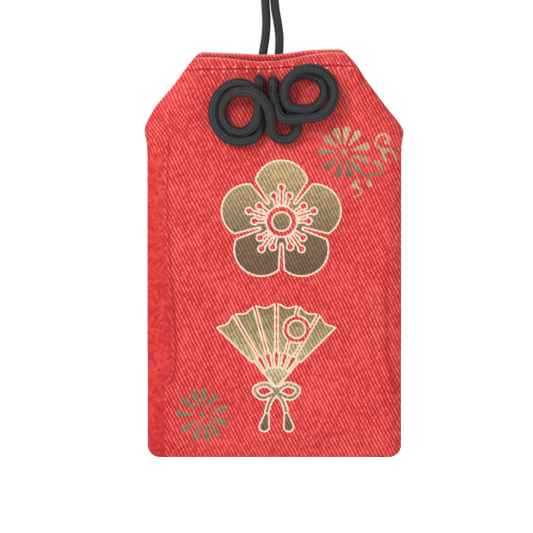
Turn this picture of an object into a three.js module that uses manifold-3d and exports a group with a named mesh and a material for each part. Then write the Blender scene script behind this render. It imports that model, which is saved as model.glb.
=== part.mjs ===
// Omamori charm: a stiff cloth pouch that hangs from a loop of braided cord. Units are millimetres.
// +X is to the viewer's right, +Z is up and the pouch's face looks along -Y.
// The origin is the middle of the end knot, where the loop is held.
import * as THREE from 'three';
import { mergeVertices } from 'three/addons/utils/BufferGeometryUtils.js';
import Module from 'manifold-3d';

// Pouch outline
const POUCH_WIDTH = 50;
const POUCH_HEIGHT = 80;
const TOP_WIDTH = 28.6;
const SHOULDER_DROP = 14.8;
const CORNER_RADIUS = 2.5;
const FRONT_DROP = 1;
const MOUTH_SAG = 0.8;
const SAG_REACH = 5;
const MOUTH_RUN = 5.5;
const MOUTH_SHARE = 0.5;
const SLOPE_RUN = 3.75;

// Layers, from the front face to the back face
const CLOTH_THICKNESS = 0.45;
const LINING_THICKNESS = 0.25;
const LAYER_GAP = 0.1;
const PAPER_THICKNESS = 0.15;
const SLIP_THICKNESS = 0.5;
const BOARD_THICKNESS = 1;

// Hems, seams and thread
const HEM_DEPTH = 3;
const HEM_EDGE = 0.25;
const HEM_STITCH_DROP = 2.3;
const SEAM_CLEARANCE = 0.3;
const SEAM_INSET = 1.5;
const THREAD_DIAMETER = 0.3;
const THREAD_GAP = 0.05;

// Inner pieces
const LINING_INSET = 2.2;
const LINING_TOP_GAP = 0.5;
const BOARD_INSET = 3.7;
const BOARD_SHOULDER_INSET = 6.9;
const INSERT_TRAVEL = 2.5;
const INSERT_CLEARANCE = 0.1;
const PACKET_INSET = 3.3;
const PACKET_TOP_GAP = 5;
const PACKET_BOTTOM_GAP = 6.3;
const SLIP_INSET = 1.5;
const SLIP_TOP_GAP = 3;

// Cord, holes and the hanging loop
const CORD_DIAMETER = 1.7;
const CORD_CLEARANCE = 0.3;
const HOLE_DROP = 4.8;
const HOLE_SPACING = 3.2;
const HOLE_OFFSET = 1.35;
const CORD_BEND = 1.1;
const CORD_END_GAP = 0.35;
const HANG_OFFSET = 1.2;
const LOOP_DROP = 55;
const END_KNOT_DIAMETER = 6;
const TAIL_LENGTH = 8;
const TAIL_LEAN = 2.4;
const TAIL_SPACING = 2.2;
const STRAND_SPACING = 1.9;

// Front knot: two rings of two turns each, a small bight below and a strand down the middle
const KNOT_TUBE_DIAMETER = 1.25;
const KNOT_LEVEL = 1.75;
const KNOT_BEND = 0.9;
const LEFT_RING = {
  inner: { x: -6.89, z: -12.0, width: 7.08, height: 7.72 },
  outer: { x: -6.89, z: -12.02, width: 10.62, height: 11.46 },
  tilt: 0,
};
const RIGHT_RING = {
  inner: { x: 5.81, z: -8.07, width: 7.8, height: 7 },
  outer: { x: 6.72, z: -8.42, width: 9.82, height: 9.64 },
  tilt: 10,
};
const BIGHT = { x: 1.77, z: -14.96, width: 5.12, height: 4.8 };
const BIGHT_START_LEVEL = 0.7;
const BIGHT_FALL_SHARE = 1 / 3;

// Facets
const RING_STEPS = 24;
const RING_SIDES = 6;
const CORD_SIDES = 8;
const HOLE_SIDES = 12;
const BEND_DEGREES = [0, 30, 60, 90];
const STEP_DIAMETERS = 2;

const CORD_RADIUS = CORD_DIAMETER / 2;
const PACKET_THICKNESS = SLIP_THICKNESS + 2 * (PAPER_THICKNESS + LAYER_GAP);
const WALL_STACK = CLOTH_THICKNESS + LINING_THICKNESS + 2 * LAYER_GAP;
const FACE_HALF = WALL_STACK + (PACKET_THICKNESS + LAYER_GAP + BOARD_THICKNESS) / 2;
const SEAM_HALF = CLOTH_THICKNESS + SEAM_CLEARANCE / 2;
const STRAND_DEPTH = FACE_HALF + CORD_CLEARANCE + CORD_RADIUS;
const HOLE_RADIUS = CORD_RADIUS + CORD_CLEARANCE;
const LEFT_HOLE_X = -HOLE_OFFSET - HOLE_SPACING / 2;
const RIGHT_HOLE_X = HOLE_SPACING / 2 - HOLE_OFFSET;

const redTwill = new THREE.MeshStandardMaterial({ color: 0xdf4e4d, roughness: 0.8, metalness: 0 });
const whiteFelt = new THREE.MeshStandardMaterial({ color: 0xe9e6df, roughness: 0.95, metalness: 0 });
const redThread = new THREE.MeshStandardMaterial({ color: 0xc93a3a, roughness: 0.6, metalness: 0 });
const greyBoard = new THREE.MeshStandardMaterial({ color: 0xd8d2c4, roughness: 0.9, metalness: 0 });
const whitePaper = new THREE.MeshStandardMaterial({ color: 0xf4f1ea, roughness: 0.85, metalness: 0 });
const paleWood = new THREE.MeshStandardMaterial({ color: 0xdcc096, roughness: 0.7, metalness: 0 });
const blackCord = new THREE.MeshStandardMaterial({ color: 0x1c1b1c, roughness: 0.55, metalness: 0 });

const wasm = await Module();
wasm.setup();

function toSolid(geometry) {
  const bare = geometry.clone();
  bare.deleteAttribute('normal');
  bare.deleteAttribute('uv');
  const merged = mergeVertices(bare);
  const mesh = new wasm.Mesh({
    numProp: 3,
    vertProperties: new Float32Array(merged.attributes.position.array),
    triVerts: new Uint32Array(merged.index.array),
  });
  return new wasm.Manifold(mesh);
}

function toGeometry(solid) {
  const mesh = solid.getMesh();
  const geometry = new THREE.BufferGeometry();
  geometry.setAttribute('position', new THREE.BufferAttribute(new Float32Array(mesh.vertProperties), 3));
  geometry.setIndex(new THREE.BufferAttribute(new Uint32Array(mesh.triVerts), 1));
  geometry.computeVertexNormals();
  return geometry;
}

function piece(name, geometry, material) {
  const mesh = new THREE.Mesh(geometry, material);
  mesh.name = name;
  return mesh;
}

function radians(degrees) {
  return THREE.MathUtils.degToRad(degrees);
}

// A tube with closed ends along a smooth curve through the points.
function tube(points, diameter, sides, steps) {
  const section = new THREE.Shape();
  for (let side = 0; side < sides; side += 1) {
    const angle = (side / sides) * 2 * Math.PI;
    const corner = [Math.cos(angle) * diameter / 2, Math.sin(angle) * diameter / 2];
    if (side === 0) section.moveTo(...corner);
    else section.lineTo(...corner);
  }
  section.closePath();
  const path = new THREE.CatmullRomCurve3(points, false, 'centripetal');
  path.arcLengthDivisions = steps * RING_STEPS;
  return new THREE.ExtrudeGeometry(section, { steps, bevelEnabled: false, extrudePath: path });
}

// Half the pouch's width at a drop below the back panel's top edge.
function halfWidthAt(drop) {
  const half = POUCH_WIDTH / 2;
  if (drop < SHOULDER_DROP) return THREE.MathUtils.lerp(TOP_WIDTH / 2, half, drop / SHOULDER_DROP);
  const intoCorner = drop - (POUCH_HEIGHT - CORNER_RADIUS);
  if (intoCorner <= 0) return half;
  return half - CORNER_RADIUS + Math.sqrt(Math.max(CORNER_RADIUS ** 2 - intoCorner ** 2, 0));
}

// Distance from a point on the face to the nearest sewn edge. The mouth isn't sewn.
function seamDistance(x, drop) {
  const out = Math.abs(x);
  const toSide = POUCH_WIDTH / 2 - out;
  const toBottom = POUCH_HEIGHT - drop;
  const run = (POUCH_WIDTH - TOP_WIDTH) / 2;
  const edge = TOP_WIDTH / 2 + run * drop / SHOULDER_DROP;
  const toShoulder = (edge - out) * SHOULDER_DROP / Math.hypot(run, SHOULDER_DROP);
  let nearest = Math.min(toSide, toBottom, toShoulder);
  if (toSide < CORNER_RADIUS && toBottom < CORNER_RADIUS) {
    nearest = CORNER_RADIUS - Math.hypot(CORNER_RADIUS - toSide, CORNER_RADIUS - toBottom);
  }
  return Math.max(nearest, 0);
}

function ease(share) {
  return Math.sin(Math.min(Math.max(share, 0), 1) * Math.PI / 2);
}

// How far the cloth's outer face stands from the pouch's middle plane.
function faceDepth(x, drop) {
  const rise = ease(seamDistance(x, drop) / SLOPE_RUN);
  const mouth = MOUTH_SHARE + (1 - MOUTH_SHARE) * ease(drop / MOUTH_RUN);
  return SEAM_HALF + (FACE_HALF - SEAM_HALF) * rise * mouth;
}

// The mouth sags between its ends, where the cord draws it down.
function saggedDrop(x, drop) {
  const middle = 1 - Math.min((2 * x / TOP_WIDTH) ** 2, 1);
  return drop + MOUTH_SAG * middle * Math.max(1 - drop / SAG_REACH, 0);
}

function mirrored(shares) {
  return [...shares.slice(1).reverse().map((share) => -share), ...shares];
}

// A closed sheet on a grid of rows and columns, between an outer and an inner face.
function sheet(drops, shares, side, halfWidth, outerDepth, innerDepth) {
  const positions = [];
  const place = (drop, share, depthOf) => {
    const x = share * halfWidth(drop);
    const down = saggedDrop(x, drop);
    positions.push(x, side * depthOf(x, drop), -down);
  };
  for (const depthOf of [outerDepth, innerDepth]) {
    for (const drop of drops) {
      for (const share of shares) place(drop, share, depthOf);
    }
  }
  const columns = shares.length;
  const rows = drops.length;
  const layer = rows * columns;
  const at = (face, row, column) => face * layer + row * columns + column;
  const faces = [];
  const quad = (a, b, c, d) => faces.push(a, b, c, a, c, d);
  for (let row = 0; row + 1 < rows; row += 1) {
    for (let column = 0; column + 1 < columns; column += 1) {
      quad(at(0, row, column), at(0, row + 1, column), at(0, row + 1, column + 1), at(0, row, column + 1));
      quad(at(1, row, column), at(1, row, column + 1), at(1, row + 1, column + 1), at(1, row + 1, column));
    }
    const last = columns - 1;
    quad(at(0, row, 0), at(1, row, 0), at(1, row + 1, 0), at(0, row + 1, 0));
    quad(at(0, row, last), at(0, row + 1, last), at(1, row + 1, last), at(1, row, last));
  }
  for (let column = 0; column + 1 < columns; column += 1) {
    const last = rows - 1;
    quad(at(0, 0, column), at(0, 0, column + 1), at(1, 0, column + 1), at(1, 0, column));
    quad(at(0, last, column), at(1, last, column), at(1, last, column + 1), at(0, last, column + 1));
  }
  if (side > 0) faces.reverse();
  const geometry = new THREE.BufferGeometry();
  geometry.setAttribute('position', new THREE.Float32BufferAttribute(positions, 3));
  geometry.setIndex(faces);
  return geometry;
}

// The two cord holes, cut straight through from front to back.
function withCordHoles(geometry) {
  let solid = toSolid(geometry);
  for (const x of [LEFT_HOLE_X, RIGHT_HOLE_X]) {
    const drill = new THREE.CylinderGeometry(HOLE_RADIUS, HOLE_RADIUS, 4 * FACE_HALF, HOLE_SIDES);
    drill.translate(x, 0, -HOLE_DROP);
    solid = solid.subtract(toSolid(drill));
  }
  return toGeometry(solid);
}

// Where the cloth's grid has its columns and rows: close together where the face slopes to a seam.
const columnShares = mirrored([0, 0.25, 0.5, 0.7, 0.82, 0.87, 0.91, 0.945, 0.975, 1]);
const hemShares = [0, 0.4, 0.75, 1];
const shoulderShares = [0.3, 0.65, 1];
const sideShares = [0.03, 0.2, 0.45, 0.72];
const bottomShares = [1, 0.8, 0.6, 0.42, 0.28, 0.15, 0.06, 0];

function panelDrops(top) {
  const hemEnd = top + HEM_DEPTH + HEM_EDGE;
  const sideEnd = POUCH_HEIGHT - SLOPE_RUN;
  return [
    ...hemShares.map((share) => top + share * HEM_DEPTH),
    hemEnd,
    ...shoulderShares.map((share) => THREE.MathUtils.lerp(hemEnd, SHOULDER_DROP, share)),
    ...sideShares.map((share) => THREE.MathUtils.lerp(SHOULDER_DROP, sideEnd, share)),
    ...bottomShares.map((share) => POUCH_HEIGHT - share * SLOPE_RUN),
  ];
}

// One cloth panel, double where its hem is folded in at the mouth.
function clothPanel(side, top) {
  const inner = (x, drop) => {
    const hemmed = drop <= top + HEM_DEPTH ? 2 : 1;
    return Math.max(faceDepth(x, drop) - hemmed * CLOTH_THICKNESS, SEAM_CLEARANCE / 2);
  };
  return withCordHoles(sheet(panelDrops(top), columnShares, side, halfWidthAt, faceDepth, inner));
}

const liningShares = mirrored([0, 0.5, 0.8, 0.88, 0.94, 1]);
const liningTopShares = [0, 0.3, 0.65, 1];

// The stiffener behind one cloth panel, from below the hem to just above the bottom seam.
function lining(side, top) {
  const first = top + HEM_DEPTH + HEM_EDGE + LINING_TOP_GAP;
  const last = POUCH_HEIGHT - LINING_INSET;
  const sideStart = SHOULDER_DROP + SLOPE_RUN;
  const sideEnd = POUCH_HEIGHT - SLOPE_RUN;
  const drops = [
    ...liningTopShares.map((share) => THREE.MathUtils.lerp(first, SHOULDER_DROP, share)),
    sideStart,
    (sideStart + sideEnd) / 2,
    sideEnd,
    (sideEnd + last) / 2,
    last,
  ];
  const halfWidth = (drop) => halfWidthAt(Math.min(drop, POUCH_HEIGHT - CORNER_RADIUS)) - LINING_INSET;
  const outer = (x, drop) => faceDepth(x, drop) - CLOTH_THICKNESS - LAYER_GAP;
  const inner = (x, drop) => outer(x, drop) - LINING_THICKNESS;
  return withCordHoles(sheet(drops, liningShares, side, halfWidth, outer, inner));
}

const hemThreadShares = mirrored([0, 0.35, 0.7, 0.9, 1]);

// The line of thread that holds a hem down, just proud of the cloth.
function hemThread(side, top) {
  const drop = top + HEM_STITCH_DROP;
  const half = halfWidthAt(drop) - SEAM_INSET;
  const points = hemThreadShares.map((share) => {
    const x = share * half;
    const depth = faceDepth(x, drop) + THREAD_GAP + THREAD_DIAMETER;
    return new THREE.Vector3(x, side * depth, -saggedDrop(x, drop));
  });
  return tube(points, THREAD_DIAMETER, RING_SIDES, points.length * 2);
}

// The seam's thread runs inside the pouch, down one side, along the bottom and up the other.
function seamThread() {
  const half = POUCH_WIDTH / 2 - SEAM_INSET;
  const first = FRONT_DROP + HEM_DEPTH + HEM_EDGE + THREAD_DIAMETER;
  const turn = SEAM_INSET + CORNER_RADIUS;
  const bottom = POUCH_HEIGHT - SEAM_INSET;
  const shoulderInset = 2 * SEAM_INSET;
  const oneSide = [
    [halfWidthAt(first) - shoulderInset, first],
    [(halfWidthAt(first) + half - SEAM_INSET) / 2, (first + SHOULDER_DROP) / 2],
    [half - SEAM_INSET / 2, SHOULDER_DROP],
    [half, SHOULDER_DROP + turn],
    [half, POUCH_HEIGHT / 2],
    [half, bottom - turn],
    [half - SEAM_INSET / 2, bottom - SEAM_INSET / 2],
    [half - turn, bottom],
  ];
  const left = oneSide.map(([x, drop]) => new THREE.Vector3(-x, 0, -drop));
  const right = oneSide.map(([x, drop]) => new THREE.Vector3(x, 0, -drop)).reverse();
  const points = [...left, new THREE.Vector3(0, 0, -bottom), ...right];
  return tube(points, THREAD_DIAMETER, RING_SIDES, 4 * points.length);
}

// Flat sheets inside the pouch are drawn face on and stand between two depths.
function standing(shape, frontDepth, thickness) {
  const geometry = new THREE.ExtrudeGeometry(shape, { depth: thickness, bevelEnabled: false });
  geometry.rotateX(Math.PI / 2);
  geometry.translate(0, frontDepth + thickness, 0);
  return geometry;
}

const packetFront = WALL_STACK - FACE_HALF;
const boardFront = packetFront + PACKET_THICKNESS + LAYER_GAP;
const boardHalf = POUCH_WIDTH / 2 - BOARD_INSET;
const boardTop = HOLE_DROP + CORD_RADIUS + CORD_CLEARANCE + INSERT_TRAVEL;
const boardBottom = POUCH_HEIGHT - SLOPE_RUN - INSERT_CLEARANCE;
const packetHalf = boardHalf - PACKET_INSET;
const packetTop = boardTop + PACKET_TOP_GAP;
const packetBottom = boardBottom - PACKET_BOTTOM_GAP;

// The board has the pouch's own outline, with its slanted edges clear of the shoulder seams.
function board() {
  const topHalf = halfWidthAt(boardTop) - BOARD_SHOULDER_INSET;
  const slope = SHOULDER_DROP / ((POUCH_WIDTH - TOP_WIDTH) / 2);
  const cornerDrop = boardTop + (boardHalf - topHalf) * slope;
  const shape = new THREE.Shape();
  shape.moveTo(-boardHalf, -boardBottom);
  shape.lineTo(boardHalf, -boardBottom);
  shape.lineTo(boardHalf, -cornerDrop);
  shape.lineTo(topHalf, -boardTop);
  shape.lineTo(-topHalf, -boardTop);
  shape.lineTo(-boardHalf, -cornerDrop);
  shape.closePath();
  return standing(shape, boardFront, BOARD_THICKNESS);
}

function upright(half, top, bottom) {
  const shape = new THREE.Shape();
  shape.moveTo(-half, -bottom);
  shape.lineTo(half, -bottom);
  shape.lineTo(half, -top);
  shape.lineTo(-half, -top);
  shape.closePath();
  return shape;
}

// A flat paper packet, open along its top edge.
function packet() {
  const outsideShape = upright(packetHalf, packetTop, packetBottom);
  const outside = toSolid(standing(outsideShape, packetFront, PACKET_THICKNESS));
  const mouth = packetTop - PAPER_THICKNESS;
  const hollowShape = upright(packetHalf - PAPER_THICKNESS, mouth, packetBottom - PAPER_THICKNESS);
  const hollowDepth = PACKET_THICKNESS - 2 * PAPER_THICKNESS;
  const hollow = toSolid(standing(hollowShape, packetFront + PAPER_THICKNESS, hollowDepth));
  return toGeometry(outside.subtract(hollow));
}

function slip() {
  const bottom = packetBottom - PAPER_THICKNESS - LAYER_GAP;
  const shape = upright(packetHalf - SLIP_INSET, packetTop + SLIP_TOP_GAP, bottom);
  return standing(shape, packetFront + PAPER_THICKNESS + LAYER_GAP, SLIP_THICKNESS);
}

// A point of the front knot: level 0 lies on the cloth and each level is one strand further out.
function knotPoint(x, z, level) {
  return new THREE.Vector3(x, -(STRAND_DEPTH + level * KNOT_LEVEL), z);
}

// A point on a ring of the knot. Turn share 0 is its inner turn and 1 its outer turn.
function ringPoint(ring, degrees, turnShare, level) {
  const angle = radians(degrees);
  const tilt = radians(ring.tilt);
  const mix = (key) => THREE.MathUtils.lerp(ring.inner[key], ring.outer[key], turnShare);
  const across = Math.cos(angle) * mix('width') / 2;
  const up = Math.sin(angle) * mix('height') / 2;
  const x = mix('x') + across * Math.cos(tilt) - up * Math.sin(tilt);
  const z = mix('z') + across * Math.sin(tilt) + up * Math.cos(tilt);
  return knotPoint(x, z, level);
}

// Reads a value between the stations of a table of [degrees, value], with degrees falling.
function along(stations, degrees) {
  for (let index = 0; index + 1 < stations.length; index += 1) {
    const [from, fromValue] = stations[index];
    const [to, toValue] = stations[index + 1];
    if (degrees >= to) {
      const share = (degrees - from) / (to - from);
      return THREE.MathUtils.lerp(fromValue, toValue, THREE.MathUtils.smoothstep(share, 0, 1));
    }
  }
  return stations[stations.length - 1][1];
}

// Turns of a ring, wound clockwise as the viewer sees it.
function ringTurns(ring, turnStations, levelStations) {
  const [start] = turnStations[0];
  const [end] = turnStations[turnStations.length - 1];
  const count = Math.round((start - end) / 360 * RING_STEPS);
  const points = [];
  for (let step = 0; step <= count; step += 1) {
    const degrees = THREE.MathUtils.lerp(start, end, step / count);
    points.push(ringPoint(ring, degrees, along(turnStations, degrees), along(levelStations, degrees)));
  }
  return points;
}

const leftTurnStations = [[-50, 1], [-265, 1], [-375, 0], [-640, 0]];
const leftLevelStations = [
  [-50, 0], [-230, 0], [-290, 0.75], [-330, 1], [-390, 1], [-450, 0.1], [-560, 0], [-640, 1.3],
];
const rightTurnStations = [[190, 0], [-110, 0], [-190, 1], [-465, 1]];
const rightLevelStations = [
  [190, 0], [40, 0], [-60, 0.85], [-90, 1], [-270, 1], [-360, 0.7], [-430, 1], [-465, 1],
];

// The way from the left hole into the left ring, over to the bight, up to the right ring and back
// to the right hole, as x, z and level.
const knotEntry = [
  [-2.7, -7.4, 0.32], [-2.55, -9.2, 0.05], [-2.5, -10.8, 0], [-2.5, -12.6, 0], [-2.7, -14.4, 0],
];
const knotCrossing = [
  [-4.4, -8.5, 2], [-3.2, -9.1, 2.15], [-2, -10.3, 2], [-1.15, -11.9, 1.6], [-0.9, -13.6, 1.15],
];
const knotRise = [[4, -13.8, 0], [3.3, -12.6, 0], [2.5, -11.3, 0]];
const knotExit = [
  [3.7, -13.5, 1], [2.1, -13.6, 1], [0.9, -12.9, 1], [0.3, -11.4, 1], [0.1, -9.4, 0.85], [0.2, -7.5, 0.7],
];

// The strand leaves each hole straight out for one diameter and then bends down.
function knotFoot(x) {
  const face = faceDepth(x, HOLE_DROP) + CORD_CLEARANCE;
  const points = [new THREE.Vector3(x, -face, -HOLE_DROP)];
  for (const angle of BEND_DEGREES.map(radians)) {
    const out = face + KNOT_TUBE_DIAMETER + KNOT_BEND * Math.sin(angle);
    points.push(new THREE.Vector3(x, -out, -HOLE_DROP - KNOT_BEND + KNOT_BEND * Math.cos(angle)));
  }
  return points;
}

// The bight is the lower half of a small ring, which lands on the cloth as it turns.
function bightPoints() {
  const points = [];
  const count = RING_STEPS / 2;
  for (let step = 0; step <= count; step += 1) {
    const share = step / count;
    const angle = Math.PI * (1 + share);
    const level = BIGHT_START_LEVEL * Math.max(1 - share / BIGHT_FALL_SHARE, 0);
    const x = BIGHT.x + Math.cos(angle) * BIGHT.width / 2;
    const z = BIGHT.z + Math.sin(angle) * BIGHT.height / 2;
    points.push(knotPoint(x, z, level));
  }
  return points;
}

const knotRoute = [
  ...knotFoot(LEFT_HOLE_X),
  ...knotEntry.map((point) => knotPoint(...point)),
  ...ringTurns(LEFT_RING, leftTurnStations, leftLevelStations),
  ...knotCrossing.map((point) => knotPoint(...point)),
  ...bightPoints(),
  ...knotRise.map((point) => knotPoint(...point)),
  ...ringTurns(RIGHT_RING, rightTurnStations, rightLevelStations),
  ...knotExit.map((point) => knotPoint(...point)),
  ...knotFoot(RIGHT_HOLE_X).reverse(),
];

// The least gap that a wound tube keeps to itself, measured on points along its middle.
function leastSelfGap(points, diameter) {
  const curve = new THREE.CatmullRomCurve3(points, false, 'centripetal');
  const length = curve.getLength();
  const spacing = diameter / RING_SIDES;
  const samples = curve.getSpacedPoints(Math.round(length / spacing));
  const apart = Math.ceil(3 * diameter / spacing);
  let least = Infinity;
  let where = null;
  for (let first = 0; first < samples.length; first += 1) {
    for (let second = first + apart; second < samples.length; second += 1) {
      const distance = samples[first].distanceTo(samples[second]);
      if (distance < least) {
        least = distance;
        where = samples[first];
      }
    }
  }
  return { gap: least - diameter, where, length };
}

const measured = leastSelfGap(knotRoute, KNOT_TUBE_DIAMETER);
const where = measured.where.toArray().map((value) => value.toFixed(1)).join(', ');
console.log(`front knot: ${measured.length.toFixed(1)} mm of cord`);
console.log(`its least gap to itself is ${measured.gap.toFixed(2)} mm, near ${where}`);

function frontKnot() {
  const steps = Math.round(measured.length / KNOT_TUBE_DIAMETER);
  return tube(knotRoute, KNOT_TUBE_DIAMETER, RING_SIDES, steps);
}

// The cord's stretch through the pouch, from the front face to its upward bend behind the back.
function throughCord(x) {
  const front = -faceDepth(x, HOLE_DROP);
  const points = [
    new THREE.Vector3(x, front, -HOLE_DROP),
    new THREE.Vector3(x, 0, -HOLE_DROP),
  ];
  for (const angle of BEND_DEGREES.map(radians)) {
    const back = STRAND_DEPTH - CORD_BEND + CORD_BEND * Math.sin(angle);
    points.push(new THREE.Vector3(x, back, -HOLE_DROP + CORD_BEND - CORD_BEND * Math.cos(angle)));
  }
  return tube(points, CORD_DIAMETER, CORD_SIDES, 2 * points.length);
}

// The way of each strand of the hanging loop between its ends: x and z from the middle of the end knot.
const leftStrandRoute = [
  [-1.55, -57], [-1.34, -55.6], [-1.06, -53.9], [-0.66, -51.2], [-0.5, -48.4], [-0.64, -45.6],
  [-0.82, -42.6], [-1.12, -38.4], [-1.7, -33.4], [-2.25, -27.8], [-2.5, -22.4], [-2.35, -17], [-1.85, -12],
  [-1.3, -8], [-1, -5.2],
];
const rightStrandRoute = [
  [1.7, -57], [1.92, -55.6], [2.06, -53.9], [2.08, -51.2], [1.72, -48.4], [1.26, -45.6],
  [1.06, -42.6], [1.15, -38.4], [1.65, -33.4], [2.2, -27.8], [2.45, -22.4], [2.3, -17], [1.8, -12],
  [1.3, -8], [1, -5.2],
];

// A strand rises from the bend behind its hole and goes up into the end knot.
function strand(holeX, route, side) {
  const foot = -LOOP_DROP - HOLE_DROP + CORD_BEND + CORD_END_GAP;
  const head = -END_KNOT_DIAMETER / 2 - CORD_END_GAP;
  const points = [
    new THREE.Vector3(holeX + HANG_OFFSET, 0, foot),
    ...route.map(([x, z]) => new THREE.Vector3(x, 0, z)),
    new THREE.Vector3(side * STRAND_SPACING / 2, 0, head),
  ];
  const steps = Math.round((head - foot) / (STEP_DIAMETERS * CORD_DIAMETER));
  return tube(points, CORD_DIAMETER, CORD_SIDES, steps);
}

// The end knot is a round lump with the two tails of the cord standing out of its top.
function endKnot() {
  const radius = END_KNOT_DIAMETER / 2;
  let solid = toSolid(new THREE.SphereGeometry(radius, RING_STEPS / 2, RING_STEPS / 3));
  for (const side of [-1, 1]) {
    const foot = side * TAIL_SPACING / 2;
    const points = [
      new THREE.Vector3(foot, 0, radius / 2),
      new THREE.Vector3(foot, 0, radius),
      new THREE.Vector3(foot + side * TAIL_LEAN / 3, 0, radius + TAIL_LENGTH / 2),
      new THREE.Vector3(foot + side * TAIL_LEAN, 0, radius + TAIL_LENGTH),
    ];
    solid = solid.add(toSolid(tube(points, CORD_DIAMETER, CORD_SIDES, points.length * 2)));
  }
  return toGeometry(solid);
}

const cloth = new THREE.Group();
cloth.add(
  piece('front_cloth', clothPanel(-1, FRONT_DROP), redTwill),
  piece('back_cloth', clothPanel(1, 0), redTwill),
  piece('front_interlining', lining(-1, FRONT_DROP), whiteFelt),
  piece('back_interlining', lining(1, 0), whiteFelt),
  piece('front_hem_thread', hemThread(-1, FRONT_DROP), redThread),
  piece('back_hem_thread', hemThread(1, 0), redThread),
  piece('seam_thread', seamThread(), redThread),
);

const insert = new THREE.Group();
insert.add(
  piece('stiffening_board', board(), greyBoard),
  piece('amulet_packet', packet(), whitePaper),
  piece('amulet_slip', slip(), paleWood),
);

const knot = new THREE.Group();
knot.add(piece('front_knot', frontKnot(), blackCord));

const cordThrough = new THREE.Group();
cordThrough.add(
  piece('cord_through_left', throughCord(LEFT_HOLE_X), blackCord),
  piece('cord_through_right', throughCord(RIGHT_HOLE_X), blackCord),
);

const pouch = new THREE.Group();
pouch.add(cloth, insert, knot, cordThrough);
pouch.position.set(HANG_OFFSET, -STRAND_DEPTH, -LOOP_DROP);

const loop = new THREE.Group();
loop.add(
  piece('loop_strand_left', strand(LEFT_HOLE_X, leftStrandRoute, -1), blackCord),
  piece('loop_strand_right', strand(RIGHT_HOLE_X, rightStrandRoute, 1), blackCord),
);

const charm = new THREE.Group();
charm.add(piece('end_knot', endKnot(), blackCord), loop, pouch);

export default charm;
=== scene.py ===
"""The looks of a cloth charm pouch on its braided cord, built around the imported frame.

Sizes are in millimetres until a mesh is made. The pouch has its own coordinates: x to the viewer's
right and y to the back from its middle plane, and a drop down from the back panel's top edge.
"""

from math import atan, copysign, cos, pi, radians, sin, sqrt, tanh

import bmesh
import bpy
import numpy as np
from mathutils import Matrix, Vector


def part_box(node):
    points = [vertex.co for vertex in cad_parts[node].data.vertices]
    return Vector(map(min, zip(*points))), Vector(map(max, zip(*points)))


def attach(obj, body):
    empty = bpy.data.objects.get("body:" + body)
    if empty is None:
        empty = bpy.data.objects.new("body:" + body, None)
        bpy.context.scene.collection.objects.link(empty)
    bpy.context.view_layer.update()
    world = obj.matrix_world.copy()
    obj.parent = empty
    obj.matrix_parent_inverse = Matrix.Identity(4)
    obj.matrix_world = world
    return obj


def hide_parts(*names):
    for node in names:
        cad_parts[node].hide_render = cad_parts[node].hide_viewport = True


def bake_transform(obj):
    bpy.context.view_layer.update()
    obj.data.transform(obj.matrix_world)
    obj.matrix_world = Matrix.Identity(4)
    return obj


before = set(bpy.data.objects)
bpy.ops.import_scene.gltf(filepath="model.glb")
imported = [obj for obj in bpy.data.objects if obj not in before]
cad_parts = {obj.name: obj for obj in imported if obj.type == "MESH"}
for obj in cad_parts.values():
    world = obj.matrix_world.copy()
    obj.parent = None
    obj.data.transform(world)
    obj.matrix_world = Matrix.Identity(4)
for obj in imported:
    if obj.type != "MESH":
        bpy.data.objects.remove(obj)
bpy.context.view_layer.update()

MM = 0.001

# The pouch, read from the frame
front_low, front_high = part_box("front_cloth")
back_low, back_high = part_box("back_cloth")
HANG_X = (back_low.x + back_high.x) / 2 / MM
MOUTH_Z = back_high.z / MM
MIDDLE_Y = (front_low.y + back_high.y) / 2 / MM
FACE_HALF = (back_high.y - front_low.y) / 2 / MM
HALF_WIDTH = (back_high.x - back_low.x) / 2 / MM
HEIGHT = (back_high.z - back_low.z) / MM
FRONT_DROP = (back_high.z - front_high.z) / MM

# The pouch's outline and seams
TOP_HALF = 14.3
BACK_CORNER, FRONT_CORNER = 1.7, 1.0
SHOULDER_DROP = 14.8
SHOULDER_POINT = 0.45
SHOULDER_REACH = 2.6
OUTLINE_SOFTNESS = 0.35
BOTTOM_CORNER = 2.5
SEAM_HALF = 0.6
SEAM_LIP = 0.5
SEAM_GROOVE = 0.04
SLOPE_RUN = 3.75
CLOTH = 0.45
RIM_GAP = 0.02
MOUTH_SHARE = 0.5
MOUTH_RUN = 5.5
HEM_DEPTH = 3
HEM_LINE = 2.3
HOLE_DROP = 4.8
HOLE_X = (-2.95, 0.25)
HOLE_RADIUS = 0.95
# The front holes as they show: the cord slants down to them from the back ones
FRONT_HOLES = ((-3.05, 5.55), (-0.35, 5.75))

# The weave: ridges of twill that fall to the right, and the strip beside the left seam
TWILL_PITCH = 0.66
TWILL_ANGLE = 64
TWILL_RELIEF = 0.045
THREAD_RUN = 0.58
THREAD_SKEW = 0.26
THREAD_DIP = 0.5
SLACK_PITCH = 0.46
SLACK_ANGLE = 21

# The cord
CORD_RADIUS = 0.9
KNOT_RADIUS = 1.03
PLAIT_PITCH = 0.56
PLAIT_COLUMNS = 8
PLAIT_RELIEF = 0.11
PLAIT_LEAN = 0.9
STRAND_ROUNDNESS, COLUMN_ROUNDNESS = 0.7, 0.5
RING_SPACING = 0.125
RING_SIDES = 40
FIRST_SIDE = (0.3, 1, 0.2)
BEND_DEGREES = (30, 60, 90)

# The picture: its side in pixels, the size of a pixel at the face, and the pouch's place in it
PICTURE = 533
PIXEL = 0.19685
PIXEL_X = 275
PIXEL_TOP = 52
LENS, SENSOR = 120, 36


def spot(pixel_x, pixel_y):
    """The pouch's x and drop of a pixel of the picture."""
    return (pixel_x - PIXEL_X) * PIXEL, (pixel_y - PIXEL_TOP) * PIXEL


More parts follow.
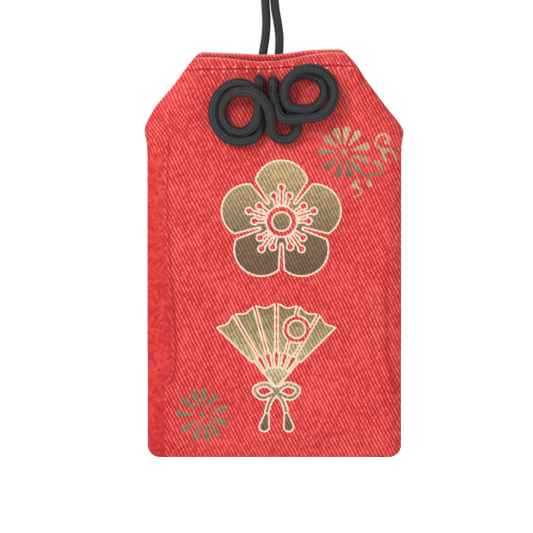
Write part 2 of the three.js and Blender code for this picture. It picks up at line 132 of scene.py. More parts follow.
def at_pouch(points):
    """Pouch coordinates x, y and z, in millimetres, as points of the frame in metres."""
    return (np.asarray(points, float) + [HANG_X, MIDDLE_Y, MOUTH_Z]) * MM


def at_frame(points):
    """Points of the frame in millimetres, as metres."""
    return np.asarray(points, float) * MM


def smooth(share):
    """0 up to 0, 1 from 1 on, and a soft step between."""
    share = np.clip(share, 0, 1)
    return share * share * (3 - 2 * share)


def onset(value, start, run):
    """A soft step from 0 at a start to 1 a run further on."""
    return smooth((value - start) / run)


# Objects and meshes


def add_object(name, data):
    made = bpy.data.objects.new(name, data)
    bpy.context.scene.collection.objects.link(made)
    return made


def mesh_from(name, points, faces):
    """A smooth mesh of points in metres, with its normals pointing out."""
    mesh = bpy.data.meshes.new(name)
    mesh.from_pydata([tuple(p) for p in points], [], [tuple(f) for f in faces])
    work = bmesh.new()
    work.from_mesh(mesh)
    bmesh.ops.recalc_face_normals(work, faces=work.faces)
    work.to_mesh(mesh)
    work.free()
    mesh.shade_smooth()
    return mesh


def set_values(mesh, name, values):
    layer = mesh.attributes.new(name, "FLOAT", "POINT")
    layer.data.foreach_set("value", np.asarray(values, np.float32))


def set_uv(mesh, name, pairs):
    """A UV map from one pair for each vertex."""
    layer = mesh.uv_layers.new(name=name)
    corners = np.zeros(len(mesh.loops), np.int32)
    mesh.loops.foreach_get("vertex_index", corners)
    layer.data.foreach_set("uv", np.asarray(pairs, np.float32)[corners].ravel())


def finished(piece):
    """The piece with its modifiers applied, as a plain mesh."""
    view = bpy.context.evaluated_depsgraph_get()
    mesh = bpy.data.meshes.new_from_object(piece.evaluated_get(view))
    piece.modifiers.clear()
    piece.data = mesh
    return piece


def make_camera():
    """The camera stands where a pixel at the face has its true size."""
    data = bpy.data.cameras.new("camera")
    data.lens = LENS
    data.sensor_width = SENSOR
    camera = add_object("camera", data)
    x, drop = spot(PICTURE / 2, PICTURE / 2)
    camera.location = at_pouch([x, -FACE_HALF - LENS / SENSOR * PICTURE * PIXEL, -drop])
    camera.rotation_euler = (radians(90), 0, 0)
    bpy.context.scene.camera = camera


make_camera()

# Curves

CURVE_STEPS = 24


def through(points, spacing):
    """Evenly spaced points on a centripetal Catmull-Rom curve through the given points."""
    p = np.asarray(points, float)
    p = np.vstack([2 * p[0] - p[1], p, 2 * p[-1] - p[-2]])
    dense = []
    for a, b, c, d in zip(p[:-3], p[1:-2], p[2:-1], p[3:]):
        chords = [sqrt(np.linalg.norm(end - start)) for start, end in ((a, b), (b, c), (c, d))]
        knots = np.cumsum([0] + chords)
        t = np.linspace(knots[1], knots[2], CURVE_STEPS, endpoint=False)[:, None]

        def mix(first, second, start, end):
            whole = knots[end] - knots[start]
            return (knots[end] - t) / whole * first + (t - knots[start]) / whole * second

        ab, bc, cd = mix(a, b, 0, 1), mix(b, c, 1, 2), mix(c, d, 2, 3)
        dense.append(mix(mix(ab, bc, 0, 2), mix(bc, cd, 1, 3), 1, 2))
    dense = np.vstack(dense + [p[-2:-1]])
    run = run_along(dense)
    count = max(int(round(run[-1] / spacing)), 2)
    even = np.linspace(0, run[-1], count + 1)
    return np.stack([np.interp(even, run, dense[:, axis]) for axis in range(3)], axis=1)


def run_along(path):
    """The distance from the path's start to each of its points."""
    return np.concatenate([[0], np.cumsum(np.linalg.norm(np.diff(path, axis=0), axis=1))])


def frames_along(path):
    """Two unit vectors square to the path at each point, turned as little as possible."""
    tangents = np.gradient(path, axis=0)
    tangents /= np.linalg.norm(tangents, axis=1)[:, None]
    side = np.cross(tangents[0], FIRST_SIDE)
    side /= np.linalg.norm(side)
    sides = [side]
    for tangent in tangents[1:]:
        side = sides[-1] - tangent * (sides[-1] @ tangent)
        sides.append(side / np.linalg.norm(side))
    sides = np.array(sides)
    return sides, np.cross(tangents, sides)


def plait(turn, run):
    """The relief of a round plait, from 0 to 1: columns of slanting strands that alternate."""
    column = turn * PLAIT_COLUMNS
    whole = np.floor(column)
    share = column - whole
    lean = np.where(whole % 2 == 0, share - 0.5, 0.5 - share)
    along = run / PLAIT_PITCH + lean * PLAIT_LEAN + 0.5 * (whole % 2)
    strands = np.abs(np.sin(pi * along)) ** STRAND_ROUNDNESS
    return strands * np.sin(pi * share) ** COLUMN_ROUNDNESS


def tube_rings(path, radius):
    """Points of the rings of a plaited tube along the path, and each point's turn and run."""
    first, second = frames_along(path)
    turns, runs = np.meshgrid(np.arange(RING_SIDES) / RING_SIDES, run_along(path))
    lift = radius * (1 - PLAIT_RELIEF + PLAIT_RELIEF * plait(turns, runs))
    angle = 2 * pi * turns
    rings = (
        path[:, None, :]
        + first[:, None, :] * (lift * np.cos(angle))[..., None]
        + second[:, None, :] * (lift * np.sin(angle))[..., None]
    )
    return rings, turns, runs


def tube_piece(name, rings, turns, runs, middles, place):
    """A closed tube of some rings, with its turn and run as a UV map."""
    count, sides = rings.shape[:2]
    points = np.vstack([rings.reshape(-1, 3), middles[:1], middles[-1:]])
    last = (count - 1) * sides
    around = [(side, (side + 1) % sides) for side in range(sides)]
    faces = []
    for low in range(0, last, sides):
        faces += [(a + low, b + low, b + low + sides, a + low + sides) for a, b in around]
    for a, b in around:
        faces += [(last + sides, b, a), (last + sides + 1, last + a, last + b)]
    mesh = mesh_from(name, place(points), faces)
    pairs = np.stack([turns.ravel(), runs.ravel()], axis=1)
    pairs = np.vstack([pairs, [[0, runs[0, 0]], [0, runs[-1, 0]]]])
    set_uv(mesh, "plait", pairs)
    return add_object(name, mesh)


# The front knot's route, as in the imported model: x, z and level, in millimetres

KNOT_LEVEL = 1.75
KNOT_DEPTH = 3.1
KNOT_OUT = 1.25
KNOT_BEND = 0.9
CORD_CLEARANCE = 0.3
# The inner and the outer ring of each side, as x, z, width and height, and their tilt in degrees
LEFT_RING = ((-6.89, -12.0, 7.08, 7.72), (-6.89, -12.02, 10.62, 11.46), 0)
RIGHT_RING = ((5.81, -8.07, 7.8, 7.0), (6.72, -8.42, 9.82, 9.64), 10)
BIGHT = (1.77, -14.96, 5.12, 4.8)
BIGHT_LEVEL = 0.7
RING_STEPS = 24
# Degrees round a ring, and the share of the way from the inner ring to the outer one, or the level
LEFT_TURNS = [(-50, 1), (-265, 1), (-375, 0), (-640, 0)]
LEFT_LEVELS = [(-50, 0), (-230, 0), (-290, 0.75), (-330, 1), (-390, 1), (-450, 0.1), (-560, 0)]
LEFT_LEVELS += [(-640, 1.3)]
RIGHT_TURNS = [(190, 0), (-110, 0), (-190, 1), (-465, 1)]
RIGHT_LEVELS = [(190, 0), (40, 0), (-60, 0.85), (-90, 1), (-270, 1), (-360, 0.7), (-430, 1), (-465, 1)]
KNOT_ENTRY = [(-2.95, -8.1, 0.25), (-2.7, -9.4, 0.05), (-2.5, -10.8, 0), (-2.5, -12.6, 0), (-2.7, -14.4, 0)]
KNOT_CROSSING = [(-4.4, -8.5, 2), (-3.2, -9.1, 2.15), (-2, -10.3, 2), (-1.15, -11.9, 1.6)]
KNOT_CROSSING += [(-0.9, -13.6, 1.15)]
KNOT_RISE = [(4, -13.8, 0), (3.3, -12.6, 0), (2.5, -11.3, 0)]
KNOT_EXIT = [(3.7, -13.5, 1), (2.1, -13.6, 1), (0.95, -12.9, 1), (0.3, -11.5, 1), (-0.15, -9.8, 0.85)]
KNOT_EXIT += [(-0.4, -8.2, 0.6)]


def station(stations, degrees):
    """The value of a table of degrees and values, with degrees falling, eased between its rows."""
    for (start, value), (end, next_value) in zip(stations, stations[1:]):
        if degrees >= end:
            return value + (next_value - value) * float(smooth((degrees - start) / (end - start)))
    return stations[-1][1]


def ring_turns(ring, turns, levels):
    """The turns round one of the knot's two double rings."""
    start, end = turns[0][0], turns[-1][0]
    count = round((start - end) / 360 * RING_STEPS)
    inner, outer, tilt = ring
    tilt = radians(tilt)
    points = []
    for step in range(count + 1):
        degrees = start + (end - start) * step / count
        share = station(turns, degrees)
        x, z, width, height = (a + (b - a) * share for a, b in zip(inner, outer))
        across = cos(radians(degrees)) * width / 2
        up = sin(radians(degrees)) * height / 2
        x += across * cos(tilt) - up * sin(tilt)
        z += across * sin(tilt) + up * cos(tilt)
        points.append((x, z, station(levels, degrees)))
    return points


def bight_turn():
    """The small loop under the rings, which comes down to the cloth in its first third."""
    x, z, width, height = BIGHT
    points = []
    for step in range(RING_STEPS // 2 + 1):
        share = step / (RING_STEPS // 2)
        angle = pi * (1 + share)
        level = BIGHT_LEVEL * max(1 - 3 * share, 0)
        points.append((x + cos(angle) * width / 2, z + sin(angle) * height / 2, level))
    return points


def knot_foot(hole):
    """The strand comes straight out of its hole and bends down."""
    x, drop = hole
    face = float(face_depth(x, drop)) - CORD_CLEARANCE
    points = [(x, -face, -drop)]
    for degrees in (0, *BEND_DEGREES):
        angle = radians(degrees)
        out = face + 2 * CORD_CLEARANCE + KNOT_OUT + KNOT_BEND * sin(angle)
        points.append((x, -out, -drop - KNOT_BEND + KNOT_BEND * cos(angle)))
    return points


def knot_route():
    """The knot's whole cord, from one front hole to the other."""
    parts = [KNOT_ENTRY, ring_turns(LEFT_RING, LEFT_TURNS, LEFT_LEVELS), KNOT_CROSSING, bight_turn()]
    parts += [KNOT_RISE, ring_turns(RIGHT_RING, RIGHT_TURNS, RIGHT_LEVELS), KNOT_EXIT]
    middle = [(x, -(KNOT_DEPTH + level * KNOT_LEVEL), z) for part in parts for x, z, level in part]
    return knot_foot(FRONT_HOLES[0]) + middle + knot_foot(FRONT_HOLES[1])[::-1]


# The pouch's surfaces

SHOULDER_SLOPE = (HALF_WIDTH - TOP_HALF) / SHOULDER_DROP
# Where the arc of a top corner starts on the top edge and ends on the side, in radii
CORNER_START, CORNER_END = 0.51, 0.41


def half_width(drop):
    """Half the pouch's width at a drop, with small points at the shoulders and round bottom corners."""
    drop = np.asarray(drop, float)
    slanted = TOP_HALF + SHOULDER_SLOPE * drop
    side = HALF_WIDTH + SHOULDER_POINT * np.exp(-(((drop - SHOULDER_DROP) / SHOULDER_REACH) ** 2))
    k = OUTLINE_SOFTNESS
    half = -k * np.logaddexp(-slanted / k, -side / k)
    into = np.clip(drop - (HEIGHT - BOTTOM_CORNER), 0, BOTTOM_CORNER)
    return half - BOTTOM_CORNER + np.sqrt(np.maximum(BOTTOM_CORNER**2 - into**2, 0))


def corner_inset(below, side):
    """How far a panel's round top corner stands in from the slanted side, at a way below its top edge."""
    radius = FRONT_CORNER if side < 0 else BACK_CORNER
    arc = np.sqrt(np.maximum(radius**2 - (radius - np.clip(below, 0, radius)) ** 2, 0))
    inset = np.maximum(SHOULDER_SLOPE * below + CORNER_START * radius - arc, 0)
    return inset * (below < CORNER_END * radius)


def seam_distance(x, drop, inset=0.0):
    """How far a point of the face lies from the nearest sewn edge."""
    x, drop = np.broadcast_arrays(np.abs(np.asarray(x, float)), np.asarray(drop, float))
    to_outline = half_width(drop) - inset - x
    lean = cos(atan(SHOULDER_SLOPE))
    to_side = np.where(drop < SHOULDER_DROP, to_outline * lean, to_outline)
    to_bottom = HEIGHT - drop
    nearest = np.minimum(to_side, to_bottom)
    in_corner = (to_outline < BOTTOM_CORNER) & (to_bottom < BOTTOM_CORNER)
    straight = HALF_WIDTH - x
    round_corner = BOTTOM_CORNER - np.hypot(BOTTOM_CORNER - straight, BOTTOM_CORNER - to_bottom)
    return np.maximum(np.where(in_corner, np.minimum(nearest, round_corner), nearest), 0)


def face_depth(x, drop, inset=0.0):
    """How far the cloth's outer face stands from the middle plane, without its small creases."""
    seam = seam_distance(x, drop, inset)
    rise = np.sin(np.clip(seam / SLOPE_RUN, 0, 1) * pi / 2)
    mouth = MOUTH_SHARE + (1 - MOUTH_SHARE) * np.sin(np.clip(drop / MOUTH_RUN, 0, 1) * pi / 2)
    lip = np.sqrt(1 - (1 - np.clip(seam / SEAM_LIP, 0, 1)) ** 2)
    return SEAM_GROOVE + (SEAM_HALF - SEAM_GROOVE) * lip + (FACE_HALF - SEAM_HALF) * rise * mouth


def gauss(distance, width):
    return np.exp(-((distance / width) ** 2))


def uneven(fast, slow, bend):
    """A sine wave whose pace changes slowly."""
    return np.sin(fast + bend * np.sin(slow))


def swells(x, drop, waves):
    """The heights of some sine waves, each with its run across and down and its start."""
    return [height * np.sin(x / across + drop / down + start) for height, across, down, start in waves]


def holes_of(side):
    """The x and drop of a panel's two holes."""
    return FRONT_HOLES if side < 0 else [(x, HOLE_DROP) for x in HOLE_X]


# The two folds beside the board's edges, in pixels of the picture, and how far from its top each fades in
LEFT_FOLD = [(167.6, 104), (171, 133), (169.2, 161), (168.6, 195), (168.7, 222), (170.6, 242), (171.6, 263)]
LEFT_FOLD += [(173.6, 290), (175, 310), (176.4, 330), (177.4, 350), (177.2, 364), (175.6, 373), (173, 380)]
LEFT_FOLD += [(169.8, 386)]
RIGHT_FOLD = [(386, 230), (385.6, 290), (386.4, 330), (388.4, 362), (394, 384), (397, 396)]
LEFT_FADE, RIGHT_FADE = 5, 16
FOLD_TIP = 0.8
# A fold that runs up from the left edge: its foot in pixels, its direction and its length
CORNER_FOOT = (150, 394)
CORNER_ACROSS, CORNER_UP = 0.9, 0.42
CORNER_LENGTH = 4.9
# Half-widths of the folds. An onset is where something starts and how long a way it takes
LINE_WIDTH, BROAD_WIDTH, RIGHT_WIDTH, SHADOW_WIDTH, CORNER_WIDTH = 0.21, 0.75, 0.7, 0.62, 0.2
PULL_WIDTH = 1.7
# How deep the folds lie in millimetres, and how much painted shade lies at their bottoms, from 0 to 1
LINE_DEPTH, LINE_SHADE = 0.14, 0.9
BROAD_DEPTH, BROAD_SHADE = 0.06, 0.3
CORNER_DEPTH, CORNER_SHADE = 0.12, 0.8
TUCK_DEPTH, TUCK_SHADE = 0.1, 0.5
FRONT_PULL, BACK_PULL, PULL_SHADE = 0.3, 0.14, 0.45
BROAD_ONSET = (36, 14)
BACK_FOLDS, BACK_ONSET = 0.35, (17, 8)
# Where the mouth's cloth tucks in a little, with painted shadow there, under the hem's fold on the left and
# cast by the knot's right ring on the right: how much, the x and half-width, and the drop and half-width
TUCKS_AND_PAINTED_SHADOWS = ((1, -4.4, 2.6, 3.9, 0.9), (0.8, 6.2, 3.6, 2.9, 0.5))
# Low waves of the cloth and of its threads: height, run across and down, and start
CLOTH_WAVES = ((0.05, 5.2, 9.1, 0), (0.04, -11, 6.3, 1.3), (0.025, 2.1, -3.7, 0.5))
THREAD_WAVES = ((0.1, 8.9, -13.7, 2), (0.045, 2.7, 1.9, 0), (0.03, -1.3, 0.9, 1))
PUCKER, PUCKER_PLACE, PUCKER_WIDTH, CALM_REACH = 0.05, 1.3, 1.1, 1.5
FOLD_WANDER, WANDER_RUN, LINE_UNEVEN = 0.05, 1.7, 0.2


def fold_place(drop, course):
    """A fold's x at each drop."""
    places, drops = zip(*[spot(*pixel) for pixel in course])
    return np.interp(drop, drops, places)


def fold_span(drop, course, fade):
    """1 beside a fold's course, falling to 0 at both its ends."""
    start, end = spot(*course[0])[1], spot(*course[-1])[1]
    return onset(drop, start, fade) * smooth((end - drop) / FOLD_TIP)


def corner_fold(x, drop):
    foot_x, foot_drop = spot(*CORNER_FOOT)
    along = (x - foot_x) * CORNER_ACROSS + (foot_drop - drop) * CORNER_UP
    off = (x - foot_x) * CORNER_UP - (foot_drop - drop) * CORNER_ACROSS
    return gauss(off, CORNER_WIDTH) * smooth(along / FOLD_TIP) * smooth((CORNER_LENGTH - along) / FOLD_TIP)


def creases(x, drop, side):
    """The small folds of a panel: how deep they lie, and the painted shade in them, round the holes and in
    the tucks.
    """
    front = side < 0
    wander = FOLD_WANDER * np.sin(drop / WANDER_RUN + 1)
    left = x * -side - fold_place(drop, LEFT_FOLD) - wander
    right = x * -side - fold_place(drop, RIGHT_FOLD) - wander
    left_span, right_span = fold_span(drop, LEFT_FOLD, LEFT_FADE), fold_span(drop, RIGHT_FOLD, RIGHT_FADE)
    lines = gauss(left, LINE_WIDTH) * left_span
    lines = lines * (1 - LINE_UNEVEN + LINE_UNEVEN * uneven(drop / 1.3, drop / 3.1, 2))
    broad = gauss(left, BROAD_WIDTH) * left_span * onset(drop, *BROAD_ONSET)
    broad = broad + gauss(right, RIGHT_WIDTH) * right_span
    shadow = gauss(right, SHADOW_WIDTH) * right_span
    corner = corner_fold(x, drop) * front
    waves = sum(swells(x, drop, CLOTH_WAVES))
    seam = seam_distance(x, drop)
    puckers = PUCKER * uneven(drop * 2.1, drop / 7, 3) * gauss(seam - PUCKER_PLACE, PUCKER_WIDTH)
    calm = smooth(seam / CALM_REACH)
    # The cloth dents round the holes, and the dents also get painted shade
    pulled = sum(gauss(np.hypot(x - a, drop - b), PULL_WIDTH) for a, b in holes_of(side))
    tucked_and_shadowed = sum(share * gauss(x - a, wide) * gauss(drop - b, tall) for share, a, wide, b, tall in TUCKS_AND_PAINTED_SHADOWS)
    folds = LINE_DEPTH * lines + BROAD_DEPTH * broad
    if not front:
        folds = folds * (BACK_FOLDS * onset(drop, *BACK_ONSET))
    dents = (FRONT_PULL if front else BACK_PULL) * pulled + TUCK_DEPTH * tucked_and_shadowed
    deep = folds + CORNER_DEPTH * corner + dents - (waves + puckers) * calm
    # Painted shade at the folds' bottoms, beside the right fold, in the corner fold, round the holes and in
    # the tucks
    painted_fold_shade = LINE_SHADE * lines + BROAD_SHADE * (broad + shadow) + CORNER_SHADE * corner
    return deep, np.clip(painted_fold_shade + PULL_SHADE * pulled + TUCK_SHADE * tucked_and_shadowed, 0, 1)


def cloth_depth(x, drop, side, inset=0.0):
    """How far the creased cloth stands from the middle plane."""
    return face_depth(x, drop, inset) - creases(x, drop, side)[0]


def weave_wander(u, v):
    """How far the threads wander sideways, in millimetres."""
    return sum(swells(u, v, THREAD_WAVES), 0.13 * uneven(v / 6.1, u / 7.3, 0.9))


def slanting(u, v, degrees, pitch):
    """The number of ridges crossed, and the run along them, in millimetres."""
    lean = radians(degrees)
    return (u * sin(lean) + v * cos(lean)) / pitch, u * cos(lean) - v * sin(lean)


def twill(u, v):
    """The relief of the twill's ridges, from 0 to 1, at weave coordinates in millimetres."""
    ridge, _ = slanting(u, v, TWILL_ANGLE, TWILL_PITCH)
    return 0.5 - 0.5 * np.cos(2 * pi * ridge)


# Shapes of the printed ornaments, as distances in millimetres: below zero inside


def disc(x, y, centre, radius):
    return np.hypot(x - centre[0], y - centre[1]) - radius


def drop_shape(x, y, start, end, start_radius, end_radius):
    """A straight stroke whose radius changes from its start to its end."""
    sx, sy = start
    dx, dy = end[0] - sx, end[1] - sy
    share = np.clip(((x - sx) * dx + (y - sy) * dy) / (dx * dx + dy * dy), 0, 1)
    radius = start_radius + (end_radius - start_radius) * share
    return np.hypot(x - sx - share * dx, y - sy - share * dy) - radius


def stroke(x, y, points, start_radius, end_radius):
    """A smooth stroke through the points."""
    line = through([(a, b, 0) for a, b in points], STROKE_STEP)
    shape = np.full(np.shape(x), FAR_OUTSIDE)
    count = len(line) - 1
    for index in range(count):
        radii = [start_radius + (end_radius - start_radius) * (index + more) / count for more in (0, 1)]
        shape = np.minimum(shape, drop_shape(x, y, line[index][:2], line[index + 1][:2], *radii))
    return shape


def polar(centre, radius, degrees):
    angle = radians(degrees)
    return centre[0] + radius * cos(angle), centre[1] + radius * sin(angle)


def ray(x, y, centre, start, end, degrees, radii):
    """A straight stroke that points away from a centre."""
    return drop_shape(x, y, polar(centre, start, degrees), polar(centre, end, degrees), *radii)


def union(*shapes):
    return np.minimum.reduce(shapes)


def without(shape, *cuts):
    return np.maximum(shape, -np.minimum.reduce(cuts))


STROKE_STEP = 0.4
FAR_OUTSIDE = 9.0

# The chrysanthemum: its petals clockwise from the top, and where a petal starts and ends
PETALS = (-22, 4, 34.5, 74, 109.6, 141, 167, 196, 231, 273.6, 309)
PETAL_START, PETAL_END, PETAL_RADII = 1.75, 4.45, (0.2, 0.72)
FLOWER_DISC = 0.66

# The plum blossom: its round petals, the gaps between them, and its stamens round a ring
BLOSSOM_PETAL, BLOSSOM_REACH, BLOSSOM_CORE = 5.45, 6.75, 3
GAP_START, GAP_END, GAP_RADII = 4.6, 13, (0.12, 0.62)
STAMENS = ((-17, 5.3), (0, 6.7), (17, 5.3))
STAMEN_START, STAMEN_RADII, ANTHER = 3.5, (0.16, 0.16), 0.52
BLOSSOM_RING, RING_HALF = 2.45, 0.42

# The folding fan: its leaf and folds, the sun on it, its ribs, and the bow and tassels at its pivot
FAN_REACH, FAN_WAIST, FAN_SPREAD, FAN_FOLDS, FAN_SCALLOP = 16.4, 6.8, 45, 6, 0.35
FAN_FOLD_RADII, FAN_RIB_RADII, FAN_RIB_LAP = (0.1, 0.16), (0.3, 0.52), 0.4
SUN_REACH, SUN_DEGREES, SUN_RADIUS, SUN_GAP = 12.2, 71, 1.9, 2.5
FAN_HEEL, FAN_HEEL_INSET = 4.2, 3
BOW_LOOP = ((0, -0.6), (2.2, 0.7), (4.3, -0.3), (2.9, -1.9), (0, -0.9))
BOW_CORD = ((0, -0.9), (1.3, -2.7), (1.9, -4.6))
BOW_RADIUS, BOW_CORD_RADIUS, BOW_KNOT, BOW_KNOT_DROP = 0.6, 0.55, 0.95, 0.5
TASSEL, TASSEL_RADII = ((1.95, -5.3), (2.4, -7.6)), (0.6, 1.15)


def chrysanthemum(x, y, centre):
    """Eleven long petals round a small disc."""
    shapes = [disc(x, y, centre, FLOWER_DISC)]
    for clockwise in PETALS:
        shapes.append(ray(x, y, centre, PETAL_START, PETAL_END, 90 - clockwise, PETAL_RADII))
    return union(*shapes)


def plum_blossom(x, y, centre):
    """Five round petals with red gaps between them, and stamens round a disc."""
    turns = [90 + 72 * k for k in range(5)]
    petals = [disc(x, y, polar(centre, BLOSSOM_REACH, turn), BLOSSOM_PETAL) for turn in turns]
    petals.append(disc(x, y, centre, BLOSSOM_CORE))
    cuts = [ray(x, y, centre, GAP_START, GAP_END, turn + 36, GAP_RADII) for turn in turns]
    for turn in turns:
        for spread, reach in STAMENS:
            cuts.append(ray(x, y, centre, STAMEN_START, reach, turn + spread, STAMEN_RADII))
            cuts.append(disc(x, y, polar(centre, reach, turn + spread), ANTHER))
    away = np.hypot(x - centre[0], y - centre[1])
    cuts.append(np.abs(away - BLOSSOM_RING) - RING_HALF)
    return without(union(*petals), *cuts)


def folding_fan(x, y, pivot):
    """An open fan of six folds with a sun on it, and a bow with two tassels at its pivot."""
    away = np.hypot(x - pivot[0], y - pivot[1])
    bearing = np.degrees(np.arctan2(x - pivot[0], y - pivot[1]))
    edge = FAN_REACH + FAN_SCALLOP * np.cos(np.radians(bearing / FAN_SPREAD * FAN_FOLDS * 180))
    beside = (np.abs(bearing) - FAN_SPREAD) * away * pi / 180
    leaf = np.maximum(np.maximum(away - edge, FAN_WAIST - away), beside)

    def degrees_at(fold):
        return 90 - FAN_SPREAD + 2 * FAN_SPREAD * fold / FAN_FOLDS

    sun = polar(pivot, SUN_REACH, SUN_DEGREES)
    cuts = [disc(x, y, sun, SUN_GAP)]
    for fold in range(1, FAN_FOLDS):
        cuts.append(ray(x, y, pivot, FAN_WAIST, FAN_REACH + 1, degrees_at(fold), FAN_FOLD_RADII))
    heel = (np.abs(bearing) - FAN_SPREAD + FAN_HEEL_INSET) * away * pi / 180
    shapes = [without(leaf, *cuts), disc(x, y, sun, SUN_RADIUS), np.maximum(away - FAN_HEEL, heel)]
    for rib in range(FAN_FOLDS):
        shapes.append(ray(x, y, pivot, 0, FAN_WAIST + FAN_RIB_LAP, degrees_at(rib + 0.5), FAN_RIB_RADII))
    for side in (-1, 1):
        loop, cord, tassel = (
            [(pivot[0] + side * across, pivot[1] + up) for across, up in points]
            for points in (BOW_LOOP, BOW_CORD, TASSEL)
        )
        shapes.append(stroke(x, y, loop, BOW_RADIUS, BOW_RADIUS))
        shapes.append(stroke(x, y, cord, BOW_CORD_RADIUS, BOW_CORD_RADIUS))
        shapes.append(drop_shape(x, y, *tassel, *TASSEL_RADII))
    shapes.append(disc(x, y, (pivot[0], pivot[1] - BOW_KNOT_DROP), BOW_KNOT))
    return union(*shapes)


# The vine beside the upper flower: each stroke's radii in millimetres and its points in pixels
SCROLLS = (
    (0.2, 0.3, (376, 146), (375.8, 141), (377.2, 137), (380.6, 134.6), (384.6, 134.5), (388, 136.8),
     (388.8, 140.4)),
    (0.32, 0.38, (388.8, 140.4), (387.8, 143), (385.8, 142.4)),
    (0.2, 0.42, (376, 144.4), (378.6, 147.6), (382.2, 149.6), (386.4, 151)),
    (0.4, 0.17, (384.6, 150.6), (389.4, 149.8), (393.4, 153), (395.8, 157), (396.8, 160.4)),
    (0.3, 0.44, (383.2, 152), (383.8, 155.6), (385.4, 159.6)),
    (0.4, 0.26, (374.4, 163.4), (378.6, 162.8), (381.2, 166), (381.4, 170), (379.2, 173.2), (375.6, 174.6)),
    (0.28, 0.19, (375.6, 174.6), (371.6, 174), (366.8, 175.4), (361.8, 174.2)),
    (0.22, 0.42, (368.4, 176.2), (368.6, 180), (369.6, 184.8)),
    (0.22, 0.6, (359, 180), (355.6, 182.4), (354.2, 186)),
    (0.22, 0.2, (357.6, 187), (360.8, 189.4), (360.8, 193.4), (357.4, 196), (353, 196.6)),
)
UPPER_FLOWER = spot(344.4, 152.6)
LOWER_FLOWER = spot(203, 415)
BLOSSOM = spot(281.5, 221.5)
FAN_PIVOT = spot(276.5, 388)
LOWER_BRONZE, UPPER_BRONZE, BRONZE_FALL, BRONZE_RIGHT = 0.85, 0.55, 0.12, 0.04
VINE_ONSET, VINE_PALE = (4.6, 2), 1.2


def closeness(distance):
    """0 at a millimetre or more outside a print, 1 on its edge and 2 well inside it."""
    return np.clip(1 - distance, 0, 2)


def printed(shape, x, drop, place):
    """An ornament with its middle at a place of the face."""
    return shape(x, -drop, (place[0], -place[1]))


def printed_flowers(x, drop):
    shapes = [printed(chrysanthemum, x, drop, flower) for flower in (UPPER_FLOWER, LOWER_FLOWER)]
    for start, end, *pixels in SCROLLS:
        shapes.append(stroke(x, drop, [spot(*pixel) for pixel in pixels], start, end))
    return union(*shapes)


def printed_gold(x, drop):
    return union(printed(plum_blossom, x, drop, BLOSSOM), printed(folding_fan, x, drop, FAN_PIVOT))


def bronze_share(x, drop):
    """How dark the flowers' metal is: the upper one grows darker downwards, and the vine's foot is pale."""
    (upper_x, upper_drop), (lower_x, _) = UPPER_FLOWER, LOWER_FLOWER
    down = drop - upper_drop
    upper = UPPER_BRONZE + BRONZE_FALL * down - BRONZE_RIGHT * (x - upper_x)
    upper = upper - VINE_PALE * onset(down, *VINE_ONSET)
    return np.where(x < (upper_x + lower_x) / 2, LOWER_BRONZE, np.clip(upper, 0, 1))


# The two cloth panels

FINE_COLUMNS = 292
EDGE_STEPS = (0, 0.04, 0.12, 0.24, 0.4, 0.6, 0.85, 1.15)
ROW_STEP = 0.27
FOLD_RUN = 0.42
FOLD_ROWS = (0, 0.02, 0.07, 0.15, 0.26, FOLD_RUN)
HEM_ROWS = (-0.3, -0.18, -0.1, -0.04, 0.04, 0.1, 0.18, 0.3)
# The plain inner face: shares of half its width, rows under its top edge, and drops further down
INNER_SHARES = (1, 0.98, 0.95, 0.91, 0.86, 0.8, 0.7, 0.5, 0.25)
INNER_ROWS = (0.01, 0.1, 0.25, FOLD_RUN, 0.65, 0.95, HEM_DEPTH, HEM_DEPTH + 0.2)
INNER_DROPS = [8, 11, 14.8, 18, 26, 38, 52, 66, 74, 76.5, 78, 79, HEIGHT - 0.3]
INNER_MARGIN = 0.3
HEM_LAP = 0.1
HEM_BAND, HEM_BAND_RUN = 0.06, 0.25
HEM_GROOVE, HEM_GROOVE_WIDTH = 0.17, 0.11
OPEN_SIDE, OPEN_TOP, HEM_END = 0.5, 0.3, 0.4
SLACK_START, SLACK_RUN, SLACK_ONSET, SLACK_FLAT = 0.3, 0.8, (16, 9), 0.7
# Painted highlight at the folded edges: how far down it fades on the outer face, how strong and wide it is
# on the upturned rim, and how far down it fades on the inner face
FOLD_LIGHT, EDGE_LIGHT, EDGE_LIGHT_WIDTH, INNER_LIGHT = 0.55, 0.8, 0.16, 0.4
# Painted shade on the inner face below its folded top, where the other panel's edge shades it
MOUTH_SHADE, MOUTH_ONSET = 0.55, (0.25, 0.5)
SAG_REACH = 5
# Lines across a panel: the level, the sag under the cord (depth, x and half-width), and the rise of the
# right end (height, start and run)
MOUTH_LINES = {-1: (0.85, (0.98, -2.2, 6), (0.95, 1, 11)), 1: (-0.22, (0.42, -1.5, 5.5), (0.6, 0, 9))}
SEWN_LINE = (3.45, (0.2, -1.8, 3), (0.77, -14, 27))
# How far each side stands out: everywhere, above a drop that fades over a run, and in soft bulges (height,
# drop and half-width)
LEFT_SIDE = (0.25, (0.55, 13, 4), ((0.85, 10.5, 4), (0.35, 3, 3)))
RIGHT_SIDE = (0, (-0.5, 1, 8), ((0.3, 14, 2.2), (0.6, 2.2, 2.6)))


def line_drop(x, line):
    """The drop of a line that the cord draws down and whose right end is lifted."""
    level, (sag, middle, width), (rise, start, run) = line
    return level + sag * gauss(x - middle, width) - rise * onset(x, start, run)


def sagged(x, drop, top, side):
    """The drop of a point once the mouth's edge and the hem's line have taken their shapes."""
    edge, line = line_drop(x, MOUTH_LINES[side]), line_drop(x, SEWN_LINE)
    in_hem = edge + (line - edge) * (drop - top) / HEM_LINE
    under = drop + (line - top - HEM_LINE) * (1 - smooth((drop - top - HEM_LINE) / SAG_REACH))
    return np.where(drop < top + HEM_LINE, in_hem, under)


